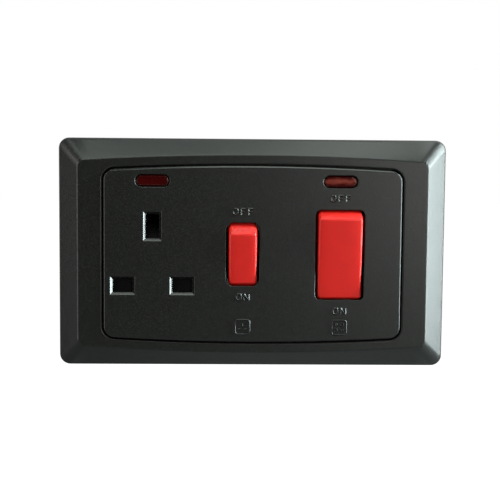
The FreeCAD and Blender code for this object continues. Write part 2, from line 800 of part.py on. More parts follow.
def terminal_places():
    """Centre x and side of the base (1 top, -1 bottom) of the four line terminals, by name."""
    return {
        "supply_live_terminal": (LIVE_POLE_X, -1),
        "supply_neutral_terminal": (NEUTRAL_POLE_X, -1),
        "load_live_terminal": (LIVE_POLE_X, 1),
        "load_neutral_terminal": (NEUTRAL_POLE_X, 1),
    }


def earth_cables():
    return [EARTH_TERMINAL_X + side * EARTH_CABLE_PITCH / 2 for side in (-1, 1)]


def cable_places():
    """Every cable way: its x and the side of the base that it enters."""
    return list(terminal_places().values()) + [(x, 1) for x in earth_cables()]


def screw_places():
    """Every terminal screw: x and y. A line terminal has two, and each earth way has one."""
    spread = TERMINAL_SCREW_SPREAD / 2
    places = [
        (x, side * (TERMINAL_MID + step * spread))
        for x, side in terminal_places().values()
        for step in (-1, 1)
    ]
    return places + [(x, TERMINAL_MID) for x in earth_cables()]


def terminal(x, width, side, cables):
    """Brass block with its cable ways along y and threaded holes from the rear."""
    y0, y1 = sorted((side * TERMINAL_IN, side * (TERMINAL_IN + TERMINAL_L)))
    block = box(x - width / 2, x + width / 2, y0, y1, FLOOR_Z, DECK_Z)
    cutters = [rod_y(CABLE_R, cable, y0 - 1, y1 + 1, CABLE_Z) for cable in cables]
    hole_r = TERMINAL_SCREW_R + TERMINAL_SCREW_FIT
    cutters += [
        rod_z(hole_r, sx, sy, FLOOR_Z - 1, CABLE_Z)
        for sx, sy in screw_places()
        if sx in cables and sy * side > 0
    ]
    return cut(block, *cutters)


def driver_slot(x, y, radius, rear_z):
    """Cutter for the slot across the rear end of a screw."""
    half = DRIVER_SLOT / 2
    return box(x - radius, x + radius, y - half, y + half, rear_z - 1, rear_z + DRIVER_SLOT)


def terminal_screws():
    """Headless screws that close on the cable ways from the rear."""
    rear_z = FLOOR_Z - TERMINAL_SCREW_PROUD
    tip_z = CABLE_Z - CABLE_R - TERMINAL_SCREW_FIT
    return [
        rod_z(TERMINAL_SCREW_R, x, y, rear_z, tip_z).cut(driver_slot(x, y, TERMINAL_SCREW_R, rear_z))
        for x, y in screw_places()
    ]


def base_screws():
    """Cheese-head screws through the base into the front plate's bosses."""
    seat_z = DECK_Z - BASE_SCREW_SEAT
    rear_z = seat_z - BASE_SCREW_HEAD_H
    tip_z = BOSS_FOOT_Z + BASE_SCREW_BITE - BASE_SCREW_FIT
    screws = []
    for x, y in boss_places():
        head = rod_z(BASE_SCREW_HEAD_R, x, y, rear_z, seat_z)
        head = head.cut(driver_slot(x, y, BASE_SCREW_HEAD_R, rear_z))
        screws.append(fuse(head, rod_z(BASE_SCREW_R - BASE_SCREW_FIT, x, y, seat_z, tip_z)))
    return screws


def wells():
    """Pockets of the terminal blocks, open to the front and out to the cable wall."""
    blocks = [(x, TERMINAL_W, side) for x, side in terminal_places().values()]
    blocks.append((EARTH_TERMINAL_X, EARTH_TERMINAL_W, 1))
    pockets = []
    for x, width, side in blocks:
        half = width / 2 + WELL_FIT
        y0, y1 = sorted((side * (TERMINAL_IN - WELL_FIT), side * BASE_IN_H))
        pockets.append(box(x - half, x + half, y0, y1, FLOOR_Z, DECK_Z + 1))
    return pockets


def core_pockets():
    """Coring from the rear that leaves ribs under the switch deck."""
    roof = DECK_Z - CORE_ROOF
    half_h = TERMINAL_IN - WELL_FIT - CORE_RIB
    pitch = (2 * BASE_IN_W + CORE_RIB) / CORE_COUNT
    pockets = []
    for i in range(CORE_COUNT):
        x0 = i * pitch - BASE_IN_W
        pockets.append(box(x0, x0 + pitch - CORE_RIB, -half_h, half_h, REAR_Z - 1, roof))
    side_y = TERMINAL_IN - WELL_FIT
    earth_left, earth_right = earth_terminal_span()
    screw_side = BOSS_X - BASE_SCREW_HEAD_R - ACCESS_ROOM - CORE_RIB
    well_left = LIVE_POLE_X - TERMINAL_W / 2 - WELL_FIT - CORE_RIB
    spans = [
        (-screw_side, earth_left - WELL_FIT - CORE_RIB, 1),
        (earth_right + WELL_FIT + CORE_RIB, well_left, 1),
        (-screw_side, SOCKET_ROCKER_X - CORE_RIB / 2, -1),
        (SOCKET_ROCKER_X + CORE_RIB / 2, well_left, -1),
    ]
    for x0, x1, side in spans:
        y0, y1 = sorted((side * side_y, side * (TERMINAL_IN + TERMINAL_L)))
        pockets.append(box(x0, x1, y0, y1, REAR_Z - 1, roof))
    return pockets


def rear_base():
    """Moulded base: deck for the switch parts, wells for the terminals, ribs and screw holes."""
    body = rounded_block(0, 0, BASE_HALF_W, BASE_HALF_H, BASE_CORNER_R, REAR_Z, 0)
    rim = rounded_block(
        0, 0, BASE_HALF_W + BASE_RIM, BASE_HALF_H + BASE_RIM, BASE_CORNER_R, -BASE_RIM_T, 0
    )
    inner_r = BASE_CORNER_R - BASE_WALL
    cutters = [rounded_block(0, 0, BASE_IN_W, BASE_IN_H, inner_r, DECK_Z, 1)]
    cutters += wells()
    cutters += core_pockets()
    entry_r = CABLE_R + CABLE_ENTRY_ROOM
    for x, side in cable_places():
        y0, y1 = sorted((side * (BASE_IN_H - 1), side * (BASE_HALF_H + 1)))
        cutters.append(rod_y(entry_r, x, y0, y1, CABLE_Z))
    access_r = TERMINAL_SCREW_R + ACCESS_ROOM
    cutters += [rod_z(access_r, x, y, REAR_Z - 1, FLOOR_Z + 1) for x, y in screw_places()]
    seat_z = DECK_Z - BASE_SCREW_SEAT
    for x, y in boss_places():
        cutters.append(rod_z(BASE_SCREW_HEAD_R + ACCESS_ROOM, x, y, REAR_Z - 1, seat_z))
        cutters.append(rod_z(BASE_SCREW_R + BASE_SCREW_FIT, x, y, REAR_Z, DECK_Z + 1))
    moulding = fuse(body, rim).cut(cutters)
    half = LINK_POST / 2
    post_top = STRIP_Z + LINK_BRIDGE
    posts = [
        box(x - half, x + half, NEUTRAL_LINK_Y - half, NEUTRAL_LINK_Y + half, DECK_Z, post_top)
        for x in (LIVE_X, (SOCKET_ROCKER_X + LIVE_POLE_X) / 2)
    ]
    return fuse(moulding, *posts)


def socket_shutter():
    """Safety shutter at rest: a cross bar over the line slots and a ramp under the earth slot."""
    left, right, bottom, top = shutter_reach()
    bar = box(left, right, bottom, top, SHUTTER_BOTTOM, SHUTTER_TOP)
    ramp_low = EARTH_PIN_Y - EARTH_SLOT_H / 2
    half = SHUTTER_BAR_W / 2
    outline = [
        (shutter_foot_y(), SHUTTER_BOTTOM),
        (ramp_low + SHUTTER_TRAVEL - SHUTTER_LAP, SHUTTER_BOTTOM),
        (ramp_low - SHUTTER_LAP, SHUTTER_TOP),
        (shutter_foot_y(), SHUTTER_TOP),
    ]
    return fuse(bar, side_prism(outline, SOCKET_X - half, SOCKET_X + half))


def shutter_spring():
    """Return spring between the shutter's foot and its seat behind the plate."""
    length = shutter_foot_y() - spring_seat_y()
    spring = coil(SHUTTER_SPRING_R, length, SHUTTER_SPRING_TURNS)
    spring.rotate(Vector(0, 0, 0), Vector(1, 0, 0), -90)
    spring.translate(Vector(SOCKET_X, spring_seat_y(), (SHUTTER_TOP + SHUTTER_BOTTOM) / 2))
    return spring


def shutter_retainer():
    """Plate behind the shutter with its own pin holes, staked to two pegs, and a spring tongue."""
    left, right, bottom, _ = shutter_reach()
    low = bottom - SHUTTER_TRAVEL
    high = EARTH_PIN_Y + EARTH_SLOT_H / 2 + BASE_WALL
    plate = box(left, right, low, high, RETAINER_BOTTOM, RETAINER_TOP)
    half = SHUTTER_SPRING_R + RAIL_W
    tongue = box(
        SOCKET_X - half, SOCKET_X + half, spring_seat_y(), low, RETAINER_BOTTOM, RETAINER_TOP
    )
    cutters = []
    for x, y, width, height in pin_slots():
        cutters.append(
            box(
                x - width / 2,
                x + width / 2,
                y - height / 2,
                y + height / 2,
                RETAINER_BOTTOM - 1,
                RETAINER_TOP + 1,
            )
        )
    stake_r = STAKE_R + TRUNNION_FIT
    for x, y in peg_places():
        cutters.append(rod_z(stake_r, x, y, RETAINER_BOTTOM - 1, RETAINER_TOP + 1))
    return fuse(plate, tongue).cut(cutters)


def neon_lens(x):
    """Obround window with a flange behind the plate and two cradles that grip the lamp."""
    width, height = LENS_W - 2 * LENS_FIT, LENS_H - 2 * LENS_FIT
    flange_z = UNDER_Z - LENS_FLANGE
    top = PLATE_Z - LENS_RECESS
    window = obround(x, NEON_Y, width, height, flange_z, top)
    window = window.makeChamfer(LENS_CHAMFER, level_edges(window, top))
    flange = obround(x, NEON_Y, width + 2 * LENS_LIP, height, flange_z, UNDER_Z)
    bore_r = LAMP_R + LAMP_FIT
    reach = bore_r + CRADLE_WALL
    cradles = []
    for side in (-1, 1):
        middle = x + side * CRADLE_SPREAD / 2
        x0, x1 = middle - CRADLE_T / 2, middle + CRADLE_T / 2
        cradles.append(
            box(x0, x1, NEON_Y - reach, NEON_Y + reach, LAMP_Z - CRADLE_GRIP, flange_z)
        )
    bore = rod_x(bore_r, x - LENS_W, x + LENS_W, NEON_Y, LAMP_Z)
    return fuse(window, flange, *cradles).cut(bore)


def neon_lamp(x):
    """Glass tube with flat sealed ends."""
    return rod_x(LAMP_R, x - LAMP_L / 2, x + LAMP_L / 2, NEON_Y, LAMP_Z)


def lead(points):
    """Square wire through the points."""
    along = points[1] - points[0]
    across = Vector(0, 1, 0)
    up = along.cross(across).normalize()
    return swept(points, square_section(points[0], across, up, LEAD_WIRE))


def lead_top(x, side):
    """First points of a lead: out from the lamp's end, then to its drop, clear of the base's wall."""
    out_x = x + side * (LAMP_L / 2 + LEAD_OUT)
    drop_y = BASE_IN_H - RESISTOR_R - LEAD_WALL_ROOM
    return [
        Vector(x + side * LAMP_L / 2, NEON_Y, LAMP_Z),
        Vector(out_x, NEON_Y, LAMP_Z),
        Vector(out_x, drop_y, LAMP_Z),
    ]


def cooker_lead(side):
    """Lead from the lamp straight down to the end of a load strip."""
    points = lead_top(COOKER_ROCKER_X, side)
    drop = points[-1]
    return lead_with_resistor(points, [Vector(drop.x, drop.y, STRIP_Z)], side)


def socket_lead(side):
    """Lead from the lamp down beside the wall, then across to a pin contact's strip."""
    points = lead_top(SOCKET_X, side)
    drop = points[-1]
    level = STRIP_Z + LEAD_HEIGHT
    target_x = LIVE_X if side > 0 else NEUTRAL_X
    target_y = STRIP_END_Y - BLADE_W / 2
    rest = [
        Vector(drop.x, drop.y, level),
        Vector(target_x, target_y, level),
        Vector(target_x, target_y, STRIP_Z),
    ]
    return lead_with_resistor(points, rest, side)


def lead_with_resistor(points, rest, side):
    """The left lead is broken by its resistor, half way down its straight drop."""
    if side > 0:
        return [lead(points + rest)]
    drop = points[-1]
    top, bottom = resistor_span()
    upper = lead(points + [Vector(drop.x, drop.y, top)])
    return [upper, lead([Vector(drop.x, drop.y, bottom)] + rest)]


def resistor_span():
    middle = (LAMP_Z + STRIP_Z + LEAD_HEIGHT) / 2
    return middle + RESISTOR_L / 2, middle - RESISTOR_L / 2


def resistor(x):
    top, bottom = resistor_span()
    drop = lead_top(x, -1)[-1]
    return rod_z(RESISTOR_R, drop.x, drop.y, bottom, top)


def build():
    """Every piece by its node name, lying on its back."""
    pieces = {
        "surround_frame": surround_frame(),
        "front_plate": front_plate(),
        "rear_base": rear_base(),
        "base_screws": Part.makeCompound(base_screws()),
    }
    poles = {
        "socket": SOCKET_ROCKER_X,
        "cooker_live": LIVE_POLE_X,
        "cooker_neutral": NEUTRAL_POLE_X,
    }
    tilts = {"socket": SOCKET_TILT, "cooker_live": COOKER_TILT, "cooker_neutral": COOKER_TILT}
    pieces["socket_rocker"] = tilted(
        rocker(
            SOCKET_ROCKER_X,
            SOCKET_ROCKER_W,
            SOCKET_ROCKER_L,
            SOCKET_ROCKER_RISE,
            [SOCKET_ROCKER_X],
        ),
        SOCKET_TILT,
        PIVOT_Z,
    )
    pieces["cooker_rocker"] = tilted(
        rocker(
            COOKER_ROCKER_X,
            COOKER_ROCKER_W,
            COOKER_ROCKER_L,
            COOKER_ROCKER_RISE,
            [LIVE_POLE_X, NEUTRAL_POLE_X],
        ),
        COOKER_TILT,
        PIVOT_Z,
    )
    for pole, x in poles.items():
        pieces[pole + "_plunger"] = tilted(plunger(x), tilts[pole], PIVOT_Z)
        pieces[pole + "_plunger_spring"] = tilted(plunger_spring(x), tilts[pole], PIVOT_Z)
        pieces[pole + "_blade"] = blade(x)
    pieces["socket_moving_tip"] = moving_tip(SOCKET_ROCKER_X)
    pieces["cooker_moving_tips"] = Part.makeCompound(
        [moving_tip(LIVE_POLE_X), moving_tip(NEUTRAL_POLE_X)]
    )
    pieces["fixed_tips"] = Part.makeCompound([fixed_tip(x) for x in poles.values()])
    pieces["socket_fulcrum"] = fulcrum(SOCKET_ROCKER_X, LIVE_LINK_Y - LINK_W / 2)
    terminal_end = -(TERMINAL_IN + TERMINAL_L)
    for pole in ("cooker_live", "cooker_neutral"):
        pieces[pole + "_fulcrum"] = fulcrum(poles[pole], terminal_end)
        pieces[pole + "_fixed_contact"] = fixed_contact(poles[pole])
    pieces["socket_live_contact"] = socket_live_contact()
    pieces["socket_neutral_contact"] = socket_neutral_contact()
    pieces["socket_earth_contact"] = socket_earth_contact()
    pieces["live_link"] = live_link()
    pieces["neutral_link"] = neutral_link()
    for name, (x, side) in terminal_places().items():
        pieces[name] = terminal(x, TERMINAL_W, side, [x])
    pieces["earth_terminal"] = terminal(EARTH_TERMINAL_X, EARTH_TERMINAL_W, 1, earth_cables())
    pieces["terminal_screws"] = Part.makeCompound(terminal_screws())
    pieces["socket_shutter"] = socket_shutter()
    pieces["shutter_spring"] = shutter_spring()
    pieces["shutter_retainer"] = shutter_retainer()
    leads = {"socket": socket_lead, "cooker": cooker_lead}
    for name, x in (("socket", SOCKET_X), ("cooker", COOKER_ROCKER_X)):
        pieces[name + "_neon_lens"] = neon_lens(x)
        pieces[name + "_neon_lamp"] = neon_lamp(x)
        pieces[name + "_neon_leads"] = Part.makeCompound(leads[name](-1) + leads[name](1))
    pieces["neon_resistors"] = Part.makeCompound([resistor(SOCKET_X), resistor(COOKER_ROCKER_X)])
    return pieces


def main():
    os.makedirs("parts", exist_ok=True)
    for name, shape in build().items():
        shape.rotate(Vector(0, 0, 0), Vector(1, 0, 0), 90)
        shape.exportStep("parts/" + name + ".step")


main()
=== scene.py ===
"""Dresses a cooker control unit: soft edges, finishes, raised signs, screws, springs and a stage."""

import json
import math

import bmesh
import bpy
from bpy.props import FloatProperty, FloatVectorProperty, PointerProperty
from mathutils import Matrix, Vector

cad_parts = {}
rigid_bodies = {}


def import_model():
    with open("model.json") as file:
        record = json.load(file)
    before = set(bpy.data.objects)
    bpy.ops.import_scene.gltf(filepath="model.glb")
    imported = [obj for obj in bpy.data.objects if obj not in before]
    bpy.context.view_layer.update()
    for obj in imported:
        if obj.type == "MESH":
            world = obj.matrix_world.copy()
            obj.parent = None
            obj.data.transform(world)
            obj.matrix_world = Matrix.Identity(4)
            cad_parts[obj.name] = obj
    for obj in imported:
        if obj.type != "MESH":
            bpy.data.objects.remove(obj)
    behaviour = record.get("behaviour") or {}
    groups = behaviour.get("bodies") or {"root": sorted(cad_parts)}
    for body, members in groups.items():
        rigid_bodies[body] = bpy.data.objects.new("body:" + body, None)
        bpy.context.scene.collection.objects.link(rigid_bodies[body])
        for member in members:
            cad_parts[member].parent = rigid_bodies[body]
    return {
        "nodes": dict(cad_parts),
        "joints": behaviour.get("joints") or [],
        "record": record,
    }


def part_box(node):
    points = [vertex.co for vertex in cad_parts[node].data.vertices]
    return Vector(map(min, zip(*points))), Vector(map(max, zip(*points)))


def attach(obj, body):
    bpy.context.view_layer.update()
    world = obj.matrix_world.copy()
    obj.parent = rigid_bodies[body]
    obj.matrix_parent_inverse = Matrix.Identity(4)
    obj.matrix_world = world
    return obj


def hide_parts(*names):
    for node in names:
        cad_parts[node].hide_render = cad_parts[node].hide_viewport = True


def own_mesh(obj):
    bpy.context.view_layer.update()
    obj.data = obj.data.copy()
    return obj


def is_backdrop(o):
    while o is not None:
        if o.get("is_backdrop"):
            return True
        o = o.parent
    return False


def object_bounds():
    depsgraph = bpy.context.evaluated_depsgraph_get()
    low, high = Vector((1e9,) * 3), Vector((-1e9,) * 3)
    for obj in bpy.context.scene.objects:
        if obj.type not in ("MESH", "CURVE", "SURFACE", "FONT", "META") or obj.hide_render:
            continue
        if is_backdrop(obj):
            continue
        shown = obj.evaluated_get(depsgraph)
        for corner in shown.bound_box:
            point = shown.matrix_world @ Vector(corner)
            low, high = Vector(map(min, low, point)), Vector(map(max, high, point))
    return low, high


bl_info = {
    "name": "Cooker control unit",
    "version": (1, 0, 0),
    "blender": (4, 5, 0),
    "location": "3D View > Sidebar > Cooker unit",
    "description": "Finishes, signs, screws and springs of a cooker control unit on its packed frame",
    "category": "Object",
}

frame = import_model()
CAD_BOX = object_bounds()
NODES = frame["nodes"]
JOINTS = {joint["name"]: joint for joint in frame["joints"]}
BODIES = frame["record"]["behaviour"]["bodies"]
BODY_OF = {node: body for body, nodes in BODIES.items() for node in nodes}
PLATE_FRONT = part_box("front_plate")[0].y
POLES = ("socket", "cooker_live", "cooker_neutral")
MM = 0.001

# Distances at which two points are one, a point is at an edge, and a point is on a level
MERGE = 0.001 * MM
CLOSE = 0.01 * MM
LEVEL = 0.05 * MM

# Turns between faces: flat, sharp enough for a round, sharp enough for a crease, and about square
FLAT_ANGLE = math.radians(0.1)
SHARP_ANGLE = math.radians(28)
CREASE_ANGLE = 1.5 * SHARP_ANGLE
SQUARE_ANGLE = math.radians(70)
ROUND_STEPS = 3

# A face that slopes by about 45 degrees has this much of its normal along an axis
SLOPE_LOW = 0.6
SLOPE_HIGH = 0.8

# Name of the face value that is 1 where the plastic is polished
POLISH = "polish"

FACING_FRONT = Matrix.Rotation(math.pi / 2, 4, "X")
FACING_REAR = Matrix.Rotation(-math.pi / 2, 4, "X")


def middle(node):
    """Centre of a solid's box."""
    low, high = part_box(node)
    return (low + high) / 2


def length(name, description, millimetres):
    return FloatProperty(
        name=name, description=description, default=millimetres * MM, unit="LENGTH", precision=5
    )


def colour(name, description, red, green, blue):
    return FloatVectorProperty(
        name=name,
        description=description,
        default=(red, green, blue),
        size=3,
        min=0.0,
        max=1.0,
        subtype="COLOR",
    )


def share(name, description, default):
    return FloatProperty(
        name=name, description=description, default=default, min=0.0, max=1.0, subtype="FACTOR"
    )


def power(name, description, watts):
    return FloatProperty(name=name, description=description, default=watts, min=0.0, unit="POWER")


def angle(name, description, degrees):
    return FloatProperty(
        name=name, description=description, default=math.radians(degrees), subtype="ANGLE"
    )


class UnitSizes(bpy.types.PropertyGroup):
    """Sizes of the detail that is added to the solids"""

    edge_round: length("Edge round", "Round on a plain moulded edge", 0.12)
    lip_round: length("Lip round", "Round on the lips of the openings", 0.4)
    rim_round: length("Rim round", "Round between the frame's side and its sloping rim", 0.8)
    border_round: length("Border round", "Round between the sloping rim and the border", 0.45)
    lens_round: length("Lens round", "Round on the crown of an indicator window", 0.3)
    base_round: length("Base round", "Round on the edges of the rear base", 0.22)
    metal_round: length("Metal round", "Round on cut and stamped metal", 0.08)
    window_round: length("Window round", "Round on the frame's inner edge, round the plate", 0.7)
    slot_growth: length("Slot growth", "Extra width and depth of the chamfers at the pin slots", 0.3)
    rocker_crown: length("Rocker crown", "How far a rocker's face falls away at its long sides", 0.45)
    sign_raise: length("Sign raise", "How far letters and symbols stand out of the plate", 0.36)
    sign_line: length("Sign line", "Width of a raised line at the plate", 0.95)
    letter_height: length("Letter height", "Height of the letters beside a rocker", 3.1)
    letter_width: length("Letter width", "Width of a letter between its outer lines", 1.75)
    letter_pitch: length("Letter pitch", "From one letter's middle to the next", 2.8)
    sign_gap: length("Sign gap", "From a rocker's end at the plate to the middle of its word", 5.0)
    symbol_size: length("Symbol size", "Outer size of a symbol's square", 5.4)
    symbol_height: length("Symbol height", "From the plate's middle down to the symbols", 27.3)
    thread_pitch: length("Thread pitch", "Pitch of the screw threads", 0.7)
    thread_depth: length("Thread depth", "Depth of the screw threads", 0.3)
    driver_slot: length("Driver slot", "Width and depth of the screws' slots", 0.8)
    spring_wire: length("Spring wire", "Thickness of the springs' wire", 0.38)


class UnitFinishes(bpy.types.PropertyGroup):
    """Colours and surfaces of the materials"""

    graphite: colour("Graphite", "Plate and frame plastic", 0.0044, 0.0049, 0.0039)
    fleck: colour("Fleck", "Metallic fleck in the graphite plastic", 0.018, 0.020, 0.018)
    fleck_size: length("Fleck size", "Size of the metallic fleck's cells", 0.3)
    slope_roughness: share("Slope roughness", "Polished slopes of the slots and the plate's edge", 0.18)
    graphite_roughness: share("Graphite roughness", "Satin surface of plate and frame", 0.36)
    red: colour("Red", "Rocker plastic", 0.60, 0.014, 0.010)
    red_roughness: share("Red roughness", "Moulded surface of the rockers", 0.36)
    lens_red: colour("Lens red", "Tint of the indicator windows", 0.055, 0.002, 0.0015)
    # Colour of the painted reflection of the lamp tube, shown in the window nearer to the window light
    lens_painted_reflection: colour("Lens painted reflection", "Faded streak in the window nearer to the light", 0.3, 0.06, 0.042)
    base_black: colour("Base black", "Rear base plastic", 0.012, 0.012, 0.0125)
    shutter_black: colour("Shutter black", "Shutter plastic", 0.002, 0.002, 0.002)
    nylon: colour("Nylon", "Plungers", 0.62, 0.58, 0.49)
    glass: colour("Glass", "Lamp glass", 0.9, 0.78, 0.68)
    brass: colour("Brass", "Terminal blocks", 0.60, 0.40, 0.15)
    copper: colour("Copper", "Contact strips and blades", 0.62, 0.30, 0.16)
    silver: colour("Silver", "Contact tips", 0.75, 0.74, 0.70)
    steel: colour("Steel", "Plated screws", 0.48, 0.46, 0.40)
    spring: colour("Spring steel", "Springs", 0.32, 0.32, 0.34)
    tin: colour("Tinned wire", "Lamp leads", 0.52, 0.50, 0.46)
    lacquer: colour("Lacquer", "Resistor bodies", 0.55, 0.40, 0.20)


class UnitStage(bpy.types.PropertyGroup):
    """Camera, floor and lights"""

    azimuth: angle("Azimuth", "Camera's swing to the right of straight ahead", -1.4)
    elevation: angle("Elevation", "Camera's height above level", 5.0)
    roll: angle("Roll", "Camera's turn about its own view", 0.5)
    distance: length("Distance", "Camera to the aim point", 430.0)
    aim_right: length("Aim right", "Aim point from the middle of the wall plane", -0.8)
    aim_up: length("Aim up", "Aim point from the middle of the wall plane", 0.9)
    lens: FloatProperty(
        name="Lens", description="Focal length of the camera", default=81.2, unit="CAMERA"
    )
    floor_drop: length("Floor drop", "Floor below the middle of the unit", 160.0)
    ambient: share("Ambient", "Even light from the surroundings", 0.15)
    room: share("Room", "Level of the room that faces the front", 0.04)
    window_light: power("Window light", "Tall strip at the right, almost level with the wall", 6.4)
    key_light: power("Key light", "Soft light in front, at the right", 1.3)
    upper_light: power("Upper light", "Long strip in front and above", 0.35)
    top_light: power("Top light", "Soft light overhead", 2.5)
    left_light: power("Left light", "Weak light at the left", 0.85)


def sizes():
    return bpy.context.scene.unit_sizes


def finishes():
    return bpy.context.scene.unit_finishes


# Node trees

class NodeTree:
    """A node tree under construction."""

    def __init__(self, tree):
        self.tree = tree

    def add(self, kind, inputs=None, **settings):
        """Node with its settings made, and each input linked to a socket or given a value."""
        node = self.tree.nodes.new(kind)
        for label, value in settings.items():
            setattr(node, label, value)
        for key, value in (inputs or {}).items():
            if isinstance(value, bpy.types.NodeSocket):
                self.tree.links.new(value, node.inputs[key])
            else:
                node.inputs[key].default_value = value
        return node

    def calculate(self, operation, *values):
        return self.add("ShaderNodeMath", dict(enumerate(values)), operation=operation).outputs[0]


# Materials

def socket_label(word):
    """Label of a shader's socket, from a word such as specular_ior_level."""
    return word.replace("_", " ").title().replace("Ior", "IOR")


class Finish(NodeTree):
    """A material under construction: its shader and the nodes that feed it, on Object coordinates."""

    def __init__(self, name, **constants):
        self.material = bpy.data.materials.new(name + "_finish")
        self.material.use_nodes = True
        super().__init__(self.material.node_tree)
        self.shader = self.tree.nodes["Principled BSDF"]
        self.place = self.add("ShaderNodeTexCoord").outputs["Object"]
        for word, value in constants.items():
            self.shader.inputs[socket_label(word)].default_value = value

    def noise(self, size, detail=2.0, stretch=(1, 1, 1)):
        """Noise with features of one size, longer along an axis whose stretch is over 1."""
        scale = [1 / (size * factor) for factor in stretch]
        place = self.add("ShaderNodeMapping", {"Vector": self.place, "Scale": scale})
        inputs = {"Vector": place.outputs[0], "Scale": 1.0, "Detail": detail}
        return self.add("ShaderNodeTexNoise", inputs).outputs["Fac"]

    def cells(self, size):
        """Random value of each cell of a fine irregular grid."""
        node = self.add("ShaderNodeTexVoronoi", {"Vector": self.place, "Scale": 1 / size})
        return self.add("ShaderNodeSeparateColor", {"Color": node.outputs["Color"]}).outputs[0]

    def spread(self, value, low, high, start=0.0, end=1.0):
        """Goes from low to high as the value goes from start to end."""
        inputs = {"Value": value, 1: start, 2: end, 3: low, 4: high}
        return self.add("ShaderNodeMapRange", inputs).outputs[0]

    def mix(self, factor, first, second):
        first, second = [c if isinstance(c, bpy.types.NodeSocket) else (*c, 1) for c in (first, second)]
        node = self.add("ShaderNodeMix", {0: factor, 6: first, 7: second}, data_type="RGBA")
        return node.outputs[2]

    def bump(self, height, depth, under=None):
        """Relief of a given depth, on top of another one where there is one."""
        inputs = {"Height": height, "Distance": depth, "Strength": 1.0}
        if under is not None:
            inputs["Normal"] = under
        return self.add("ShaderNodeBump", inputs).outputs[0]

    def feed(self, **sockets):
        """Links the shader's sockets and hands over the material."""
        for word, value in sockets.items():
            self.tree.links.new(value, self.shader.inputs[socket_label(word)])
        return self.material


def shade(tint, factor):
    """Lighter or darker tint."""
    return tuple(min(1.0, channel * factor) for channel in tint)


def graphite_plastic():
    """Satin graphite with a fine metallic fleck and a spark-eroded skin, smoother on polished slopes."""
    looks = finishes()
    cloud_size, skin_size = 18 * MM, 0.55 * MM
    skin_depth, fleck_depth = 0.024 * MM, 0.002 * MM
    satin, uneven = looks.graphite_roughness, 0.06
    finish = Finish("graphite_plastic", specular_ior_level=0.43)
    cells = finish.cells(looks.fleck_size)
    fleck = finish.spread(cells, 0.0, 1.0, start=0.84, end=0.97)
    cloud = finish.noise(cloud_size)
    body = finish.mix(cloud, shade(looks.graphite, 0.9), shade(looks.graphite, 1.1))
    tint = finish.mix(fleck, body, looks.fleck)
    metal = finish.spread(fleck, 0.0, 0.25)
    skin = finish.noise(skin_size, 3.0)
    dull = finish.spread(skin, satin - uneven, satin + uneven, start=0.3, end=0.7)
    polish = finish.add("ShaderNodeAttribute", attribute_name=POLISH).outputs["Fac"]
    keen = finish.spread(polish, 1.0, looks.slope_roughness / satin)
    roughness = finish.calculate("MULTIPLY", dull, keen)
    normal = finish.bump(finish.calculate("MULTIPLY", skin, keen), skin_depth)
    normal = finish.bump(cells, fleck_depth, normal)
    return finish.feed(base_color=tint, metallic=metal, roughness=roughness, normal=normal)


def red_plastic():
    """Smooth red moulding with a faint cloud in its colour."""
    looks = finishes()
    cloud_size, skin_size, skin_depth = 6 * MM, 0.4 * MM, 0.004 * MM
    smooth, uneven = looks.red_roughness, 0.05
    finish = Finish(
        "red_plastic",
        specular_ior_level=0.3,
        subsurface_weight=0.35,
        subsurface_radius=(1.0, 0.12, 0.08),
        subsurface_scale=3 * MM,
    )
    cloud = finish.noise(cloud_size)
    tint = finish.mix(cloud, shade(looks.red, 0.93), shade(looks.red, 1.07))
    skin = finish.noise(skin_size, 3.0)
    roughness = finish.spread(skin, smooth - uneven, smooth + uneven)
    return finish.feed(base_color=tint, roughness=roughness, normal=finish.bump(skin, skin_depth))


def red_lens():
    """Clear tinted window, denser where the moulding flowed, with a painted reflection that grows towards
    the right, nearer to the light.
    """
    looks = finishes()
    # A painted reflection: a lighter band along the window's middle that sets in across X towards the
    # window light
    reflection_start, reflection_full = 10 * MM, 34 * MM
    reflection_height = middle("cooker_neon_lens").z + 0.2 * MM
    reflection_core, reflection_edge = 0.2 * MM, 1.5 * MM
    sway, sway_size = 1.2 * MM, 1.6 * MM
    flow_size, flow_depth, skin_size = 2.5 * MM, 0.03 * MM, 0.5 * MM
    finish = Finish("red_lens", transmission_weight=0.4, ior=1.49, specular_ior_level=0.15)
    flow = finish.noise(flow_size, 2.0, (4, 1, 1))
    tint = finish.mix(flow, shade(looks.lens_red, 0.7), shade(looks.lens_red, 1.3))
    place = finish.add("ShaderNodeSeparateXYZ", {0: finish.place}).outputs
    reach = finish.spread(place["X"], 0.0, 1.0, reflection_start, reflection_full)
    wave = finish.spread(finish.noise(sway_size, 3.0, (2, 1, 1)), -sway, sway)
    above = finish.calculate("SUBTRACT", finish.calculate("ADD", place["Z"], wave), reflection_height)
    painted_reflection = finish.spread(finish.calculate("ABSOLUTE", above), 1.0, 0.0, reflection_core, reflection_edge)
    tint = finish.mix(finish.calculate("MULTIPLY", painted_reflection, reach), tint, looks.lens_painted_reflection)
    roughness = finish.spread(finish.noise(skin_size), 0.06, 0.12)
    return finish.feed(base_color=tint, roughness=roughness, normal=finish.bump(flow, flow_depth))


def lamp_glass():
    """Clear glass with a slight wave along the tube."""
    looks = finishes()
    wave_size, wave_depth = 1.2 * MM, 0.02 * MM
    finish = Finish("lamp_glass", transmission_weight=0.8, ior=1.5)
    wave = finish.noise(wave_size, 1.0, (5, 1, 1))
    tint = finish.mix(wave, shade(looks.glass, 0.9), looks.glass)
    roughness = finish.spread(wave, 0.03, 0.1)
    return finish.feed(base_color=tint, roughness=roughness, normal=finish.bump(wave, wave_depth))


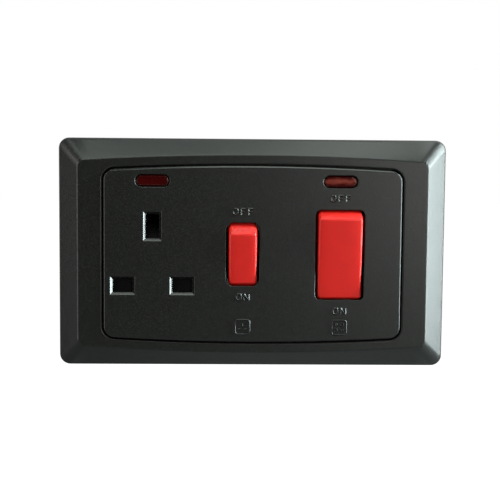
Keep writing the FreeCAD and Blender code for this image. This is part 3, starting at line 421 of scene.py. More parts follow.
def moulded(name, tint, roughness, grain, gloss=0.35):
    """Matt moulding with a spark-eroded grain and faint flow marks."""
    flow_size, uneven, depth = 9 * MM, 0.08, grain / 25
    finish = Finish(name, specular_ior_level=gloss)
    flow = finish.noise(flow_size, 2.0, (1, 1, 3))
    body = finish.mix(flow, shade(tint, 0.8), shade(tint, 1.25))
    skin = finish.noise(grain, 3.0)
    rough = finish.spread(skin, roughness - uneven, roughness + uneven)
    return finish.feed(base_color=body, roughness=rough, normal=finish.bump(skin, depth))


def rolled_metal(name, tint, roughness, grain, along=(1, 1, 1)):
    """Metal with rolling or drawing lines along one axis and a faint tarnish."""
    tarnish_size, depth = 3 * MM, grain / 30
    finish = Finish(name, metallic=1.0)
    tarnish = finish.spread(finish.noise(tarnish_size, 4.0), 0.0, 1.0, start=0.35, end=0.75)
    body = finish.mix(tarnish, tint, shade(tint, 0.62))
    lines = finish.noise(grain, 3.0, along)
    rough = finish.spread(lines, roughness - 0.1, roughness + 0.12)
    return finish.feed(base_color=body, roughness=rough, normal=finish.bump(lines, depth))


def resistor_coat():
    """Lacquered body with coloured rings across its length."""
    looks = finishes()
    skin_size, skin_depth = 0.4 * MM, 0.01 * MM
    finish = Finish("resistor_coat", specular_ior_level=0.5)
    low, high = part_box("neon_resistors")
    reach = finish.add("ShaderNodeSeparateXYZ", {0: finish.place}).outputs["Y"]
    reach = finish.spread(reach, 0.0, 1.0, low.y, high.y)
    ramp = finish.add("ShaderNodeValToRGB", {"Fac": reach})
    ramp.color_ramp.interpolation = "CONSTANT"
    body = (*looks.lacquer, 1)
    rings = ((0.16, (0.5, 0.2, 0.01, 1)), (0.34, (0.01, 0.01, 0.01, 1)), (0.52, (0.5, 0.35, 0.01, 1)))
    ring_width = 0.09
    ramp.color_ramp.elements[0].color = body
    ramp.color_ramp.elements[1].position = rings[0][0] + ring_width
    ramp.color_ramp.elements[1].color = body
    for start, ink in rings:
        ramp.color_ramp.elements.new(start).color = ink
        if start != rings[0][0]:
            ramp.color_ramp.elements.new(start + ring_width).color = body
    skin = finish.noise(skin_size)
    rough = finish.spread(skin, 0.25, 0.4)
    normal = finish.bump(skin, skin_depth)
    return finish.feed(base_color=ramp.outputs[0], roughness=rough, normal=normal)


def material(slot):
    """The finish of one of the record's material slots, made once."""
    made = bpy.data.materials.get(slot + "_finish")
    if made:
        return made
    looks = finishes()
    # Tint, roughness and grain, then a moulding's gloss or the way that a metal's lines run
    mouldings = {
        "base_plastic": (looks.base_black, 0.48, 0.5 * MM),
        "shutter_plastic": (looks.shutter_black, 0.6, 0.4 * MM, 0.08),
        "plunger_plastic": (looks.nylon, 0.42, 0.3 * MM),
    }
    metals = {
        "terminal_brass": (looks.brass, 0.3, 0.3 * MM, (6, 1, 1)),
        "contact_copper": (looks.copper, 0.32, 0.25 * MM, (1, 1, 8)),
        "contact_silver": (looks.silver, 0.28, 0.2 * MM),
        "steel": (looks.steel, 0.34, 0.3 * MM),
        "spring_steel": (looks.spring, 0.3, 0.2 * MM),
        "lead_wire": (looks.tin, 0.3, 0.2 * MM, (1, 5, 1)),
    }
    if slot in mouldings:
        return moulded(slot, *mouldings[slot])
    if slot in metals:
        return rolled_metal(slot, *metals[slot])
    makers = {
        "graphite_plastic": graphite_plastic,
        "red_plastic": red_plastic,
        "red_lens": red_lens,
        "lamp_glass": lamp_glass,
        "resistor_coat": resistor_coat,
    }
    return makers[slot]()


# Meshes

def new_object(name, data):
    """Object of a mesh, curve, light or camera, linked to the scene."""
    piece = bpy.data.objects.new(name, data)
    bpy.context.scene.collection.objects.link(piece)
    return piece


def final_mesh(piece):
    """The piece's mesh with its modifiers worked in."""
    graph = bpy.context.evaluated_depsgraph_get()
    return bpy.data.meshes.new_from_object(piece.evaluated_get(graph))


def dress(piece, slot, body, *nodes):
    """Gives a piece its finish, its body and the solids that it stands for."""
    piece.data.materials.clear()
    piece.data.materials.append(material(slot))
    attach(piece, body)
    if nodes:
        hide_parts(*nodes)
    return piece


def merged(node):
    """Solid's mesh as joined faces, with its flat stretches made whole."""
    work = bmesh.new()
    work.from_mesh(NODES[node].data)
    bmesh.ops.remove_doubles(work, verts=work.verts[:], dist=MERGE)
    bmesh.ops.dissolve_limit(
        work, angle_limit=FLAT_ANGLE, verts=work.verts[:], edges=work.edges[:]
    )
    return work


def softened(name, node, slot, width_of, shape=None):
    """Copy of a solid with its sharp edges rounded. width_of(mid point, angle) gives each width.

    A shape function may change the form before its edges are rounded.
    """
    work = merged(node)
    if shape:
        shape(work)
        work.normal_update()
    weight = work.edges.layers.float.new("bevel_weight_edge")
    widths = {}
    for edge in work.edges:
        turn = edge.calc_face_angle(0.0)
        if turn > SHARP_ANGLE:
            widths[edge] = width_of((edge.verts[0].co + edge.verts[1].co) / 2, turn)
    widest = max(widths.values())
    for edge, width in widths.items():
        edge[weight] = width / widest
    mesh = bpy.data.meshes.new(name)
    work.to_mesh(mesh)
    work.free()
    mesh.shade_smooth()
    piece = new_object(name, mesh)
    rounds = piece.modifiers.new("Edge rounds", "BEVEL")
    rounds.limit_method = "WEIGHT"
    rounds.width = widest
    rounds.segments = ROUND_STEPS
    rounds.use_clamp_overlap = False
    rounds.loop_slide = False
    even = piece.modifiers.new("Even shading", "WEIGHTED_NORMAL")
    even.keep_sharp = True
    piece.data = final_mesh(piece)
    piece.modifiers.clear()
    piece.data.name = name
    return dress(piece, slot, BODY_OF[node], node)


def plain(width):
    """Rule that gives every sharp edge the same round."""
    return lambda place, turn: width


def finish_node(node, slot):
    """Finish on a solid that is shown as it is."""
    mesh = NODES[node].data
    mesh.materials.clear()
    mesh.materials.append(material(slot))


def islands(node):
    """Lowest and highest corner of each separate solid in a node."""
    work = merged(node)
    left = set(work.verts)
    found = []
    while left:
        group, ahead = set(), [left.pop()]
        while ahead:
            vertex = ahead.pop()
            group.add(vertex)
            near = {edge.other_vert(vertex) for edge in vertex.link_edges} & left
            left -= near
            ahead.extend(near)
        places = [vertex.co for vertex in group]
        low = Vector([min(place[axis] for place in places) for axis in range(3)])
        high = Vector([max(place[axis] for place in places) for axis in range(3)])
        found.append((low, high))
    work.free()
    return sorted(found, key=lambda pair: tuple(pair[0]))


# Geometry nodes

TURN_STEPS = 28
WIRE_SIDES = 10
SCREW_SEED = 7

# Share of a raised line's width that is left at its crest
CREST = 0.15


class ShapeTree(NodeTree):
    """A geometry node tree under construction, with named inputs and one output."""

    def __init__(self, name, **inputs):
        super().__init__(bpy.data.node_groups.new(name, "GeometryNodeTree"))
        face = self.tree.interface
        face.new_socket("Geometry", in_out="INPUT", socket_type="NodeSocketGeometry")
        self.identifiers = {}
        for label, kind in inputs.items():
            socket = face.new_socket(label, in_out="INPUT", socket_type="NodeSocket" + kind)
            self.identifiers[label] = socket.identifier
        face.new_socket("Geometry", in_out="OUTPUT", socket_type="NodeSocketGeometry")
        self.given = self.add("NodeGroupInput").outputs

    def along(self, path, section):
        """Closed mesh that carries one section along a path."""
        inputs = {0: path, 1: section, "Fill Caps": True}
        return self.add("GeometryNodeCurveToMesh", inputs).outputs[0]

    def close(self, geometry):
        """Ends the tree with real geometry in its finish."""
        real = self.add("GeometryNodeRealizeInstances", {0: geometry}).outputs[0]
        inputs = {"Geometry": real, "Material": self.given["Material"]}
        done = self.add("GeometryNodeSetMaterial", inputs).outputs[0]
        self.add("NodeGroupOutput", {0: done})
        return self

    def grow(self, name, data, **values):
        """Plain mesh that the tree makes from one object's data."""
        carrier = new_object(name + "_carrier", data)
        modifier = carrier.modifiers.new(self.tree.name, "NODES")
        modifier.node_group = self.tree
        for label, value in values.items():
            modifier[self.identifiers[label]] = value
        mesh = final_mesh(carrier)
        bpy.data.objects.remove(carrier)
        mesh.name = name
        if not mesh.polygons:
            raise RuntimeError(self.tree.name + " made nothing for " + name)
        mesh.shade_smooth()
        mesh.set_sharp_from_angle(angle=CREASE_ANGLE)
        return mesh


def spring_tree():
    """Coil of round wire up the z axis, from zero to its height."""
    floats = {label: "Float" for label in ("Radius", "Height", "Turns", "Wire")}
    tree = ShapeTree("coil_spring", **floats, Material="Material")
    given = tree.given
    half_wire = tree.calculate("DIVIDE", given["Wire"], 2.0)
    mean = tree.calculate("SUBTRACT", given["Radius"], half_wire)
    spiral = tree.add(
        "GeometryNodeCurveSpiral",
        {
            "Resolution": TURN_STEPS,
            "Rotations": given["Turns"],
            "Start Radius": mean,
            "End Radius": mean,
            "Height": tree.calculate("SUBTRACT", given["Height"], given["Wire"]),
        },
    ).outputs[0]
    ring = tree.add("GeometryNodeCurvePrimitiveCircle", {"Resolution": WIRE_SIDES, "Radius": half_wire})
    wire = tree.along(spiral, ring.outputs[0])
    lift = tree.add("ShaderNodeCombineXYZ", {"Z": half_wire}).outputs[0]
    moved = tree.add("GeometryNodeTransform", {0: wire, "Translation": lift}).outputs[0]
    return tree.close(moved)


def screw_tree():
    """One screw at each point, turned about its own axis by a fixed draw."""
    tree = ShapeTree("screws", Screw="Object", Material="Material")
    screw = tree.add("GeometryNodeObjectInfo", {"Object": tree.given["Screw"], "As Instance": True})
    draw = tree.add("FunctionNodeRandomValue", {"Seed": SCREW_SEED}, data_type="FLOAT")
    turn = tree.calculate("MULTIPLY", draw.outputs[1], math.pi)
    facing = tree.add("ShaderNodeCombineXYZ", {"Y": turn}).outputs[0]
    placed = tree.add(
        "GeometryNodeInstanceOnPoints",
        {"Points": tree.given["Geometry"], "Instance": screw.outputs["Geometry"], "Rotation": facing},
    ).outputs[0]
    return tree.close(placed)


def line_tree():
    """Raised line with sloping sides along flat curves."""
    tree = ShapeTree("raised_line", Width="Float", Height="Float", Material="Material")
    given = tree.given
    widths = {
        "Top Width": given["Width"],
        "Bottom Width": tree.calculate("MULTIPLY", given["Width"], CREST),
        "Height": given["Height"],
        "Offset": 0.0,
    }
    section = tree.add("GeometryNodeCurvePrimitiveQuadrilateral", widths, mode="TRAPEZOID").outputs[0]
    level = tree.add("GeometryNodeSetCurveNormal", {0: given["Geometry"]}, mode="Z_UP").outputs[0]
    return tree.close(tree.along(level, section))


# Signs

# Width of a symbol's lines over that of the letters' lines
SYMBOL_LINE = 0.85


def letter_lines(letter, x):
    """Lines of a plain capital letter about x: the points of each line, and whether it closes."""
    detail = sizes()
    half_w = detail.letter_width / 2
    half_h = (detail.letter_height - detail.sign_line) / 2
    corner, short = 0.9 * half_w, 0.2 * half_w
    left, right = x - half_w, x + half_w
    if letter == "O":
        return [(rounded_points(x, 0, half_w, half_h, corner, 7), True)]
    upright = ([(left, -half_h), (left, half_h)], False)
    if letter == "N":
        slant = ([(left, half_h), (right, -half_h)], False)
        return [upright, slant, ([(right, -half_h), (right, half_h)], False)]
    arms = ((half_h, right), (0.0, right - short))
    return [upright] + [([(left, y), (reach, y)], False) for y, reach in arms]


def word_lines(word):
    """Lines of a word, centred."""
    pitch = sizes().letter_pitch
    first = -pitch * (len(word) - 1) / 2
    lines = []
    for place, letter in enumerate(word):
        lines += letter_lines(letter, first + place * pitch)
    return lines


def ring_points(x, y, radius, count=24):
    """Points round a circle."""
    turns = [2 * math.pi * step / count for step in range(count)]
    return [(x + radius * math.cos(turn), y + radius * math.sin(turn)) for turn in turns]


def rounded_points(x, y, half_w, half_h, radius, count=5):
    """Rounded rectangle: an arc at each corner."""
    points = []
    for quarter, (sx, sy) in enumerate(((1, 1), (-1, 1), (-1, -1), (1, -1))):
        for step in range(count):
            turn = (quarter + step / (count - 1)) * math.pi / 2
            across = x + sx * (half_w - radius) + radius * math.cos(turn)
            up = y + sy * (half_h - radius) + radius * math.sin(turn)
            points.append((across, up))
    return points


def socket_symbol(size):
    """Square face with three pin slots, whose ends are shares of its size."""
    half = size / 2
    slots = (((0, 0.08), (0, 0.27)), ((-0.29, -0.16), (-0.13, -0.16)), ((0.13, -0.16), (0.29, -0.16)))
    lines = [(rounded_points(0, 0, half, half, size / 5), True)]
    return lines + [([(x * size, y * size) for x, y in slot], False) for slot in slots]


def hob_symbol(size):
    """Square top with four cooking rings, whose radii are shares of its size."""
    half, out = size / 2, size / 5
    lines = [(rounded_points(0, 0, half, half, size / 7), True)]
    rings = ((-1, -1, 0.1), (1, -1, 0.075), (-1, 1, 0.075), (1, 1, 0.1))
    return lines + [(ring_points(sx * out, sy * out, radius * size), True) for sx, sy, radius in rings]


def raised_sign(tree, name, lines, x, z, width):
    """Sign of raised lines on the plate, with its foot just inside the plate."""
    curve = bpy.data.curves.new(name, "CURVE")
    curve.dimensions = "2D"
    for points, closes in lines:
        spline = curve.splines.new("POLY")
        spline.points.add(len(points) - 1)
        spline.use_cyclic_u = closes
        for point, (across, up) in zip(spline.points, points):
            point.co = (across, up, 0, 1)
    height = sizes().sign_raise + LEVEL
    mesh = tree.grow(name, curve, Width=width, Height=height, Material=material("graphite_plastic"))
    mesh.transform(Matrix.Translation((x, PLATE_FRONT + LEVEL - height / 2, z)) @ FACING_FRONT)
    work = bmesh.new()
    work.from_mesh(mesh)
    bmesh.ops.remove_doubles(work, verts=work.verts[:], dist=MERGE)
    bmesh.ops.recalc_face_normals(work, faces=work.faces[:])
    work.to_mesh(mesh)
    work.free()
    return dress(new_object(name, mesh), "graphite_plastic", "housing")


# Screws

SCREW_COLUMNS = 28
ROWS_PER_PITCH = 7


def revolved(profile):
    """Closed mesh of revolution about z. The profile gives radius and height at each turn."""
    work = bmesh.new()
    rings = []
    for row in profile:
        ring = []
        for column in range(SCREW_COLUMNS):
            turn = 2 * math.pi * column / SCREW_COLUMNS
            radius, height = row(turn)
            ring.append(work.verts.new((radius * math.cos(turn), radius * math.sin(turn), height)))
        rings.append(ring)
    for lower, upper in zip(rings, rings[1:]):
        for column in range(SCREW_COLUMNS):
            after = (column + 1) % SCREW_COLUMNS
            work.faces.new((lower[column], lower[after], upper[after], upper[column]))
    work.faces.new(list(reversed(rings[0])))
    work.faces.new(rings[-1])
    bmesh.ops.recalc_face_normals(work, faces=work.faces[:])
    return work


def thread_rows(radius, low, high):
    """Rows of a threaded stretch, whose ridge climbs one pitch in a turn."""
    detail = sizes()
    pitch, depth = detail.thread_pitch, detail.thread_depth
    count = max(2, round((high - low) / pitch * ROWS_PER_PITCH))

    def row(height):
        def at(turn):
            phase = height / pitch - turn / (2 * math.pi)
            ends = min(1.0, (height - low) / pitch, (high - height) / pitch)
            return radius - depth * (1 - ends * abs(2 * (phase % 1.0) - 1)), height

        return at

    return [row(low + (high - low) * step / count) for step in range(count + 1)]


def even_row(radius, height):
    """Row that is a plain circle."""
    return lambda turn: (radius, height)


def slotted(name, work, width, top):
    """Cuts the driver's slot across the top of a screw and turns the screw to face the rear."""
    detail = sizes()
    mesh = bpy.data.meshes.new(name)
    work.to_mesh(mesh)
    work.free()
    screw = new_object(name, mesh)
    block = bmesh.new()
    scale = Vector((3 * width, detail.driver_slot, 2 * detail.driver_slot))
    bmesh.ops.create_cube(
        block, size=1.0, matrix=Matrix.Translation((0, 0, top)) @ Matrix.Diagonal((*scale, 1))
    )
    cutter_mesh = bpy.data.meshes.new(name + "_slot")
    block.to_mesh(cutter_mesh)
    block.free()
    cutter = new_object(name + "_slot", cutter_mesh)
    slot = screw.modifiers.new("Driver slot", "BOOLEAN")
    slot.object = cutter
    slot.operation = "DIFFERENCE"
    slot.solver = "EXACT"
    screw.data = final_mesh(screw)
    screw.modifiers.clear()
    bpy.data.objects.remove(cutter)
    screw.data.transform(FACING_REAR)
    return screw


def terminal_screw(radius, reach):
    """Headless screw, from its tip at zero to its slotted end."""
    lead_in = 0.3 * MM
    rows = [even_row(radius - 2 * lead_in, 0.0)]
    rows += thread_rows(radius, lead_in, reach - lead_in)
    rows.append(even_row(radius - 1.5 * lead_in, reach))
    return slotted("terminal_screw_form", revolved(rows), radius, reach)


def base_screw(radius, head_radius, reach, head):
    """Cheese-head screw, from its tip at zero to the top of its head."""
    lead_in, edge = 0.5 * MM, 0.3 * MM
    shoulder = 0.3 * edge
    seat = reach - head
    rows = [even_row(radius - 2 * lead_in, 0.0)]
    rows += thread_rows(radius, lead_in, seat - lead_in)
    rows += [even_row(radius, seat), even_row(head_radius, seat), even_row(head_radius, reach - edge)]
    rows += [even_row(head_radius - shoulder, reach - shoulder), even_row(head_radius - edge, reach)]
    return slotted("base_screw_form", revolved(rows), head_radius, reach)


def screws_on(node, form, tree):
    """One piece with a screw in each place of the node's solids."""
    points = bpy.data.meshes.new(node + "_places")
    places = [Vector(((low.x + high.x) / 2, low.y, (low.z + high.z) / 2)) for low, high in islands(node)]
    points.from_pydata(places, [], [])
    mesh = tree.grow(node + "_dressed", points, Screw=form, Material=material("steel"))
    bpy.data.objects.remove(form)
    return dress(new_object(node + "_dressed", mesh), "steel", BODY_OF[node], node)


# Operators

class SurroundFrame(bpy.types.Operator):
    """Rounds the frame's edges and gives it its graphite finish"""

    bl_idname = "cooker_unit.surround_frame"
    bl_label = "Surround frame"

    def execute(self, context):
        detail = sizes()
        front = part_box("surround_frame")[0].y
        proud = [v.co for v in NODES["front_plate"].data.vertices if v.co.y < front]
        window_x = max(abs(place.x) for place in proud) + MM
        window_z = max(abs(place.z) for place in proud) + MM
        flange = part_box("front_plate")[1]
        rim_x, rim_z = flange.x, flange.z + 4 * MM
        rim_y = self.rim_foot()

        def width_of(place, turn):
            if abs(place.y - front) < LEVEL:
                inside = abs(place.x) < window_x and abs(place.z) < window_z
                return detail.window_round if inside else detail.border_round
            outside = abs(place.x) > rim_x or abs(place.z) > rim_z
            return detail.rim_round if outside and abs(place.y - rim_y) < LEVEL else detail.edge_round

        softened("surround_frame_dressed", "surround_frame", "graphite_plastic", width_of)
        return {"FINISHED"}

    @staticmethod
    def rim_foot():
        """Where, along Y, the frame's straight side turns into its sloping rim."""
        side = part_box("surround_frame")[1].x
        return min(v.co.y for v in NODES["surround_frame"].data.vertices if side - v.co.x < LEVEL)


# Radii of the plate's edge within which its bowed upper edge lies, and how upright a normal is there
EDGE_BAND = 5
UPRIGHT = 5


class FrontPlate(bpy.types.Operator):
    """Rounds the lips of the plate's openings, widens its slots' chamfers and slopes its upper edge"""

    bl_idname = "cooker_unit.front_plate"
    bl_label = "Front plate"

    def execute(self, context):
        detail = sizes()

        def width_of(place, turn):
            lip = abs(place.y - PLATE_FRONT) < LEVEL and turn > SQUARE_ANGLE
            return detail.lip_round if lip else detail.edge_round

        softened("front_plate_dressed", "front_plate", "graphite_plastic", width_of, self.shape)
        return {"FINISHED"}

    def shape(self, work):
        """Both changes of form, with a face value for the slopes that they polish."""
        work.faces.layers.float.new(POLISH)
        self.wider_slots(work)
        self.flat_top_edge(work)

    @staticmethod
    def flat_top_edge(work):
        """Turns the round on the plate's upper edge into one even slope, and polishes it."""
        near = [v.co for v in work.verts if v.co.y < PLATE_FRONT + MM]
        end, top = max(place.x for place in near), max(place.z for place in near)
        radius = min(v.co.y for v in work.verts if end - abs(v.co.x) < CLOSE) - PLATE_FRONT
        lowest = top - EDGE_BAND * radius
        rows = set()
        for vertex in work.verts:
            depth = vertex.co.y - PLATE_FRONT
            above = vertex.co.z > lowest and vertex.normal.z > UPRIGHT * abs(vertex.normal.x)
            if above and CLOSE < depth < radius - CLOSE:
                vertex.co.z -= math.sqrt(radius**2 - (radius - depth) ** 2) - depth
                rows.add(vertex)
        along = []
        for edge in work.edges:
            one, other = edge.verts
            if one in rows and other in rows and abs(one.co.x - other.co.x) > abs(one.co.z - other.co.z):
                along.append(edge)
        bmesh.ops.dissolve_edges(work, edges=along, use_verts=True)
        work.normal_update()
        polish = work.faces.layers.float[POLISH]
        for face in work.faces:
            outer = face.calc_center_median().z > lowest and face.normal.y < 0
            if outer and SLOPE_LOW < face.normal.z < SLOPE_HIGH:
                face[polish] = 1.0

    @staticmethod
    def wider_slots(work):
        """Grows each slot's chamfer, at the same slope, and polishes it."""
        growth = sizes().slot_growth
        polish = work.faces.layers.float[POLISH]
        moves = {}
        for face in work.faces:
            slopes = SLOPE_LOW < abs(face.normal.y) < SLOPE_HIGH
            if slopes and min(abs(v.co.y - PLATE_FRONT) for v in face.verts) < LEVEL:
                face[polish] = 1.0
                out = -Vector((face.normal.x, 0, face.normal.z)).normalized() * growth
                for vertex in face.verts:
                    if abs(vertex.co.y - PLATE_FRONT) < LEVEL:
                        moves[vertex] = moves.get(vertex, Vector()) + out
                    else:
                        moves[vertex] = Vector((0, growth, 0))
        for vertex, move in moves.items():
            vertex.co += move


# Shares of half a rocker's width at which its face is cut for the crown, and how late the crown falls
CROWN_CUTS = (0.35, 0.5, 0.62, 0.72, 0.8, 0.87)
CROWN_POWER = 4


class Rockers(bpy.types.Operator):
    """Crowns both rockers across their width and gives them their red finish"""

    bl_idname = "cooker_unit.rockers"
    bl_label = "Rockers"

    def execute(self, context):
        for node in ("socket_rocker", "cooker_rocker"):
            low, high = self.face_sides(node)
            softened(
                node + "_dressed",
                node,
                "red_plastic",
                plain(sizes().edge_round),
                lambda work: self.crown(work, (low + high) / 2, (high - low) / 2),
            )
        return {"FINISHED"}

    @staticmethod
    def face_sides(node):
        """Left and right side of a rocker's face."""
        reach = [v.co.x for v in NODES[node].data.vertices if v.co.y < PLATE_FRONT]
        return min(reach), max(reach)

    @staticmethod
    def crown(work, centre, half):
        """Lets the face fall away smoothly towards its long sides."""
        drop = sizes().rocker_crown
        for step in CROWN_CUTS:
            for side in (-1, 1):
                parts = work.verts[:] + work.edges[:] + work.faces[:]
                cut = (centre + side * step * half, 0, 0)
                bmesh.ops.bisect_plane(work, geom=parts, plane_co=cut, plane_no=(1, 0, 0), dist=MERGE)
        for vertex in work.verts:
            fade = min(1.0, max(0.0, (PLATE_FRONT + MM - vertex.co.y) / MM))
            vertex.co.y += fade * drop * min(1.0, abs(vertex.co.x - centre) / half) ** CROWN_POWER


class Indicators(bpy.types.Operator):
    """Crowns the indicator windows and finishes their lamps, leads and resistors"""

    bl_idname = "cooker_unit.indicators"
    bl_label = "Indicators"

    def execute(self, context):
        for circuit in ("socket", "cooker"):
            lens = circuit + "_neon_lens"
            softened(lens + "_dressed", lens, "red_lens", plain(sizes().lens_round))
            finish_node(circuit + "_neon_lamp", "lamp_glass")
            finish_node(circuit + "_neon_leads", "lead_wire")
        finish_node("neon_resistors", "resistor_coat")
        return {"FINISHED"}


class Signs(bpy.types.Operator):
    """Raises OFF above and ON below each rocker, and a plain symbol under them"""

    bl_idname = "cooker_unit.signs"
    bl_label = "Signs"

    def execute(self, context):
        detail = sizes()
        tree = line_tree()
        symbols = {"socket": socket_symbol, "cooker": hob_symbol}
        for circuit, symbol in symbols.items():
            rocker = circuit + "_rocker"
            pivot = JOINTS[rocker + "_tilt"]["pos_m"]
            reach = self.opening_reach(rocker) + detail.sign_gap
            for word, side in (("OFF", 1), ("ON", -1)):
                name = circuit + "_" + word.lower() + "_letters"
                raised_sign(tree, name, word_lines(word), pivot[0], side * reach, detail.sign_line)
            lines = symbol(detail.symbol_size)
            place = -detail.symbol_height
            raised_sign(tree, circuit + "_symbol", lines, pivot[0], place, SYMBOL_LINE * detail.sign_line)
        return {"FINISHED"}

    @staticmethod
    def opening_reach(rocker):
        """Half the length of a rocker where it passes through the plate's face."""
        places = [v.co for v in NODES[rocker].data.vertices]
        return max(abs(place.z) for place in places if abs(place.y - PLATE_FRONT) < MM)


class RearBase(bpy.types.Operator):
    """Softens the rear base and gives it its black finish"""

    bl_idname = "cooker_unit.rear_base"
    bl_label = "Rear base"

    def execute(self, context):
        softened("rear_base_dressed", "rear_base", "base_plastic", plain(sizes().base_round))
        return {"FINISHED"}


class Screws(bpy.types.Operator):
    """Replaces the plain screws with threaded, slotted ones"""

    bl_idname = "cooker_unit.screws"
    bl_label = "Screws"

    def execute(self, context):
        tree = screw_tree()
        low, high = islands("terminal_screws")[0]
        form = terminal_screw((high.x - low.x) / 2, high.y - low.y)
        screws_on("terminal_screws", form, tree)
        low, high = islands("base_screws")[0]
        shank, head = self.shank_and_head(low, high)
        form = base_screw(shank, (high.x - low.x) / 2, high.y - low.y, head)
        screws_on("base_screws", form, tree)
        return {"FINISHED"}

    @staticmethod
    def shank_and_head(low, high):
        """Shank radius and head height of the screw within these corners."""
        axis = ((low + high) / 2).xz
        around = 3 * MM
        own = [v.co for v in NODES["base_screws"].data.vertices if (v.co.xz - axis).length < around]
        shank = max((place.xz - axis).length for place in own if place.y - low.y < LEVEL)
        wider = 1.5 * shank
        seat = min(place.y for place in own if (place.xz - axis).length > wider)
        return shank, high.y - seat


PLUNGER_TURNS = 4.0
SHUTTER_TURNS = 5.0


class Springs(bpy.types.Operator):
    """Winds the plunger springs and the shutter's spring from round wire"""

    bl_idname = "cooker_unit.springs"
    bl_label = "Springs"

    def execute(self, context):
        tree = spring_tree()
        for pole in POLES:
            self.plunger_spring(tree, pole)
        self.shutter_spring(tree)
        return {"FINISHED"}

    @staticmethod
    def coil(tree, name, radius, height, turns):
        """Mesh of a spring that stands on the origin."""
        return tree.grow(
            name,
            bpy.data.meshes.new(name + "_empty"),
            Radius=radius,
            Height=height,
            Turns=turns,
            Wire=sizes().spring_wire,
            Material=material("spring_steel"),
        )

    def plunger_spring(self, tree, pole):
        """Spring on the slanted axis of its plunger, carried by the rocker."""
        node = pole + "_plunger_spring"
        joint = JOINTS[pole + "_plunger_slide"]
        rocker = joint["parent"]
        outward = Vector(joint["axis"])
        pivot = Vector(JOINTS[rocker + "_tilt"]["pos_m"])
        pivot.x = middle(node).x
        reach = [(v.co - pivot).dot(outward) for v in NODES[node].data.vertices]
        start, end = min(reach), max(reach)
        radius = (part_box(node)[1].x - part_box(node)[0].x) / 2
        mesh = self.coil(tree, node + "_dressed", radius, end - start, PLUNGER_TURNS)
        turn = outward.to_track_quat("Z", "X").to_matrix().to_4x4()
        mesh.transform(Matrix.Translation(pivot + outward * start) @ turn)
        spring = dress(new_object(node + "_dressed", mesh), "spring_steel", rocker, node)
        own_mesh(spring)

    def shutter_spring(self, tree):
        """Spring that stands on its seat."""
        node = "shutter_spring"
        low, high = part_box(node)
        place = middle(node)
        height = high.z - low.z
        mesh = self.coil(tree, node + "_dressed", (high.x - low.x) / 2, height, SHUTTER_TURNS)
        mesh.transform(Matrix.Translation((place.x, place.y, low.z)))
        spring = dress(new_object(node + "_dressed", mesh), "spring_steel", "housing", node)
        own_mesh(spring)


class MetalParts(bpy.types.Operator):
    """Finishes the terminals, contacts, links, blades and tips"""

    bl_idname = "cooker_unit.metal_parts"
    bl_label = "Terminals and contacts"

    def execute(self, context):
        cut_metal = {
            "terminal_brass": [
                "earth_terminal",
                "supply_live_terminal",
                "supply_neutral_terminal",
                "load_live_terminal",
                "load_neutral_terminal",
            ],
            "contact_copper": [
                "socket_live_contact",
                "socket_neutral_contact",
                "socket_earth_contact",
                "cooker_live_fixed_contact",
                "cooker_neutral_fixed_contact",
                "live_link",
                "neutral_link",
                "socket_fulcrum",
                "cooker_live_fulcrum",
                "cooker_neutral_fulcrum",
                "socket_blade",
                "cooker_live_blade",
                "cooker_neutral_blade",
            ],
            "contact_silver": ["fixed_tips", "socket_moving_tip", "cooker_moving_tips"],
        }
        for slot, nodes in cut_metal.items():
            for node in nodes:
                softened(node + "_dressed", node, slot, plain(sizes().metal_round))
        return {"FINISHED"}


class ShutterAndPlungers(bpy.types.Operator):
    """Finishes the safety shutter, its retainer and the plungers"""

    bl_idname = "cooker_unit.shutter_and_plungers"
    bl_label = "Shutter and plungers"

    def execute(self, context):
        for node in ("socket_shutter", "shutter_retainer"):
            softened(node + "_dressed", node, "shutter_plastic", plain(sizes().edge_round))
        for pole in POLES:
            node = pole + "_plunger"
            softened(node + "_dressed", node, "plunger_plastic", plain(sizes().edge_round))
        return {"FINISHED"}


# Stage

SOFT_WHITE = (1.0, 1.0, 0.97)

# Each light's middle, its width and height, and its tint. All of them face the unit's middle
LIGHTS = {
    "window_light": ((0.40, -0.05, 0.10), (0.11, 0.46), (0.86, 1.0, 1.0)),
    "key_light": ((0.28, -0.56, 0.09), (0.3, 0.3), SOFT_WHITE),
    "upper_light": ((0.0, -0.30, 0.45), (0.6, 0.22), SOFT_WHITE),
    "top_light": ((0.05, -0.06, 0.5), (1.0, 0.2), (0.9, 1.0, 0.94)),
    "left_light": ((-0.38, -0.19, 0.05), (0.2, 0.4), SOFT_WHITE),
}

# Where the level in front of the unit starts to change along Y, and where it has become the level behind
FADE_START = 0.15
FADE_END = 0.6


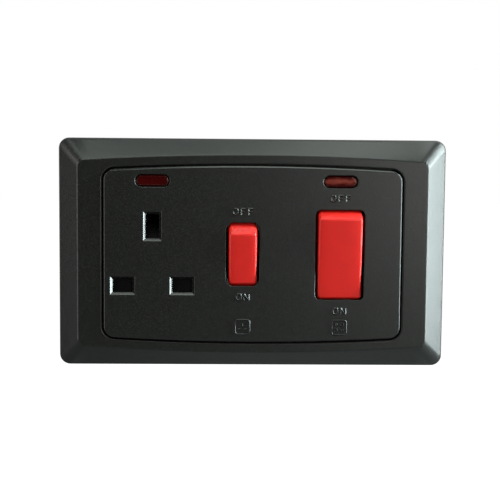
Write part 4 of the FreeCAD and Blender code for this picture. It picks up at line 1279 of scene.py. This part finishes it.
class Stage(bpy.types.Operator):
    """Sets up the floor, surroundings, lights and camera"""

    bl_idname = "cooker_unit.stage"
    bl_label = "Stage"

    def execute(self, context):
        stage = context.scene.unit_stage
        context.scene.view_settings.view_transform = "Standard"
        self.floor(stage)
        self.surroundings(context.scene, stage)
        for name, (place, size, tint) in LIGHTS.items():
            self.light(name, place, size, getattr(stage, name), tint)
        self.camera(context.scene, stage)
        return {"FINISHED"}

    @staticmethod
    def seen_level(tree, place, gloss, camera, other):
        """Light level that gloss and glass see, that the camera sees, and that lights the rest.

        The first two go from a level in front of the unit to a level behind it.
        """
        path = tree.add("ShaderNodeLightPath").outputs
        depth = tree.add("ShaderNodeSeparateXYZ", {0: place}).outputs["Y"]
        rays = (("Is Glossy Ray", gloss), ("Is Transmission Ray", gloss), ("Is Camera Ray", camera))
        level = other
        for label, (front, behind) in rays:
            inputs = {0: depth, 1: FADE_START, 2: FADE_END, 3: front, 4: behind}
            seen = tree.add("ShaderNodeMapRange", inputs).outputs[0]
            level = tree.add("ShaderNodeMix", {0: path[label], 2: level, 3: seen}).outputs[0]
        return level

    def floor(self, stage):
        """Plain pale floor that keeps the shadow and shows as white."""
        half = 4.0
        mesh = bpy.data.meshes.new("floor")
        corners = [(-half, -half), (half, -half), (half, half), (-half, half)]
        mesh.from_pydata([(x, y, -stage.floor_drop) for x, y in corners], [], [(0, 1, 2, 3)])
        floor = new_object("floor", mesh)
        pale = bpy.data.materials.new("pale_floor")
        pale.use_nodes = True
        tree = NodeTree(pale.node_tree)
        inputs = pale.node_tree.nodes["Principled BSDF"].inputs
        inputs["Base Color"].default_value = (0.22, 0.22, 0.22, 1)
        inputs["Roughness"].default_value = 0.9
        inputs["Specular IOR Level"].default_value = 0.0
        inputs["Emission Color"].default_value = (1, 1, 1, 1)
        place = tree.add("ShaderNodeTexCoord").outputs["Object"]
        level = self.seen_level(tree, place, gloss=(0.0, 1.0), camera=(0.82, 1.0), other=0.0)
        pale.node_tree.links.new(level, inputs["Emission Strength"])
        mesh.materials.append(pale)
        floor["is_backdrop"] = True

    def surroundings(self, scene, stage):
        """White behind the unit, a dim room in front of it, and an even low light."""
        world = bpy.data.worlds.new("studio")
        scene.world = world
        world.use_nodes = True
        tree = NodeTree(world.node_tree)
        inputs = world.node_tree.nodes["Background"].inputs
        inputs["Color"].default_value = (1, 1, 1, 1)
        place = tree.add("ShaderNodeTexCoord").outputs["Generated"]
        gloss = (stage.room, 1.0)
        level = self.seen_level(tree, place, gloss, camera=(1.0, 1.0), other=stage.ambient)
        world.node_tree.links.new(level, inputs["Strength"])

    @staticmethod
    def light(name, place, size, watts, tint):
        """Rectangular light that faces the unit's middle."""
        data = bpy.data.lights.new(name, "AREA")
        data.shape = "RECTANGLE"
        data.size, data.size_y = size
        data.energy = watts
        data.color = tint
        lamp = new_object(name, data)
        lamp.location = place
        lamp.rotation_euler = (-Vector(place)).to_track_quat("-Z", "Y").to_euler()

    @staticmethod
    def camera(scene, stage):
        """Camera that looks at the aim point from its swing, height and distance."""
        data = bpy.data.cameras.new("camera")
        data.lens = stage.lens
        camera = new_object("camera", data)
        swing, rise = stage.azimuth, stage.elevation
        back = Vector(
            (math.sin(swing) * math.cos(rise), -math.cos(swing) * math.cos(rise), math.sin(rise))
        )
        camera.location = Vector((stage.aim_right, 0, stage.aim_up)) + back * stage.distance
        facing = (-back).to_track_quat("-Z", "Y").to_matrix().to_4x4()
        turned = facing @ Matrix.Rotation(stage.roll, 4, "Z")
        camera.rotation_euler = turned.to_euler()
        scene.camera = camera


OPERATORS = (
    SurroundFrame,
    FrontPlate,
    Rockers,
    Indicators,
    Signs,
    RearBase,
    Screws,
    Springs,
    MetalParts,
    ShutterAndPlungers,
    Stage,
)
SETTINGS = {"unit_sizes": UnitSizes, "unit_finishes": UnitFinishes, "unit_stage": UnitStage}


class UnitPanel(bpy.types.Panel):
    """Steps and settings of the cooker control unit"""

    bl_idname = "VIEW3D_PT_cooker_unit"
    bl_label = "Cooker unit"
    bl_space_type = "VIEW_3D"
    bl_region_type = "UI"
    bl_category = "Cooker unit"

    def draw(self, context):
        for operator in OPERATORS:
            self.layout.operator(operator.bl_idname)
        for name, group in SETTINGS.items():
            box = self.layout.box()
            for label in group.__annotations__:
                box.prop(getattr(context.scene, name), label)


def register():
    for cls in (*SETTINGS.values(), *OPERATORS, UnitPanel):
        bpy.utils.register_class(cls)
    for name, group in SETTINGS.items():
        setattr(bpy.types.Scene, name, PointerProperty(type=group))


def unregister():
    for name in SETTINGS:
        delattr(bpy.types.Scene, name)
    for cls in (*SETTINGS.values(), *OPERATORS, UnitPanel):
        bpy.utils.unregister_class(cls)


def main():
    register()
    for operator in OPERATORS:
        group, step = operator.bl_idname.split(".")
        getattr(getattr(bpy.ops, group), step)()
    boxes = {"cad": CAD_BOX, "visual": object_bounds()}
    {name: [list(corner) for corner in box] for name, box in boxes.items()}


if __name__ == "__main__":
    main()
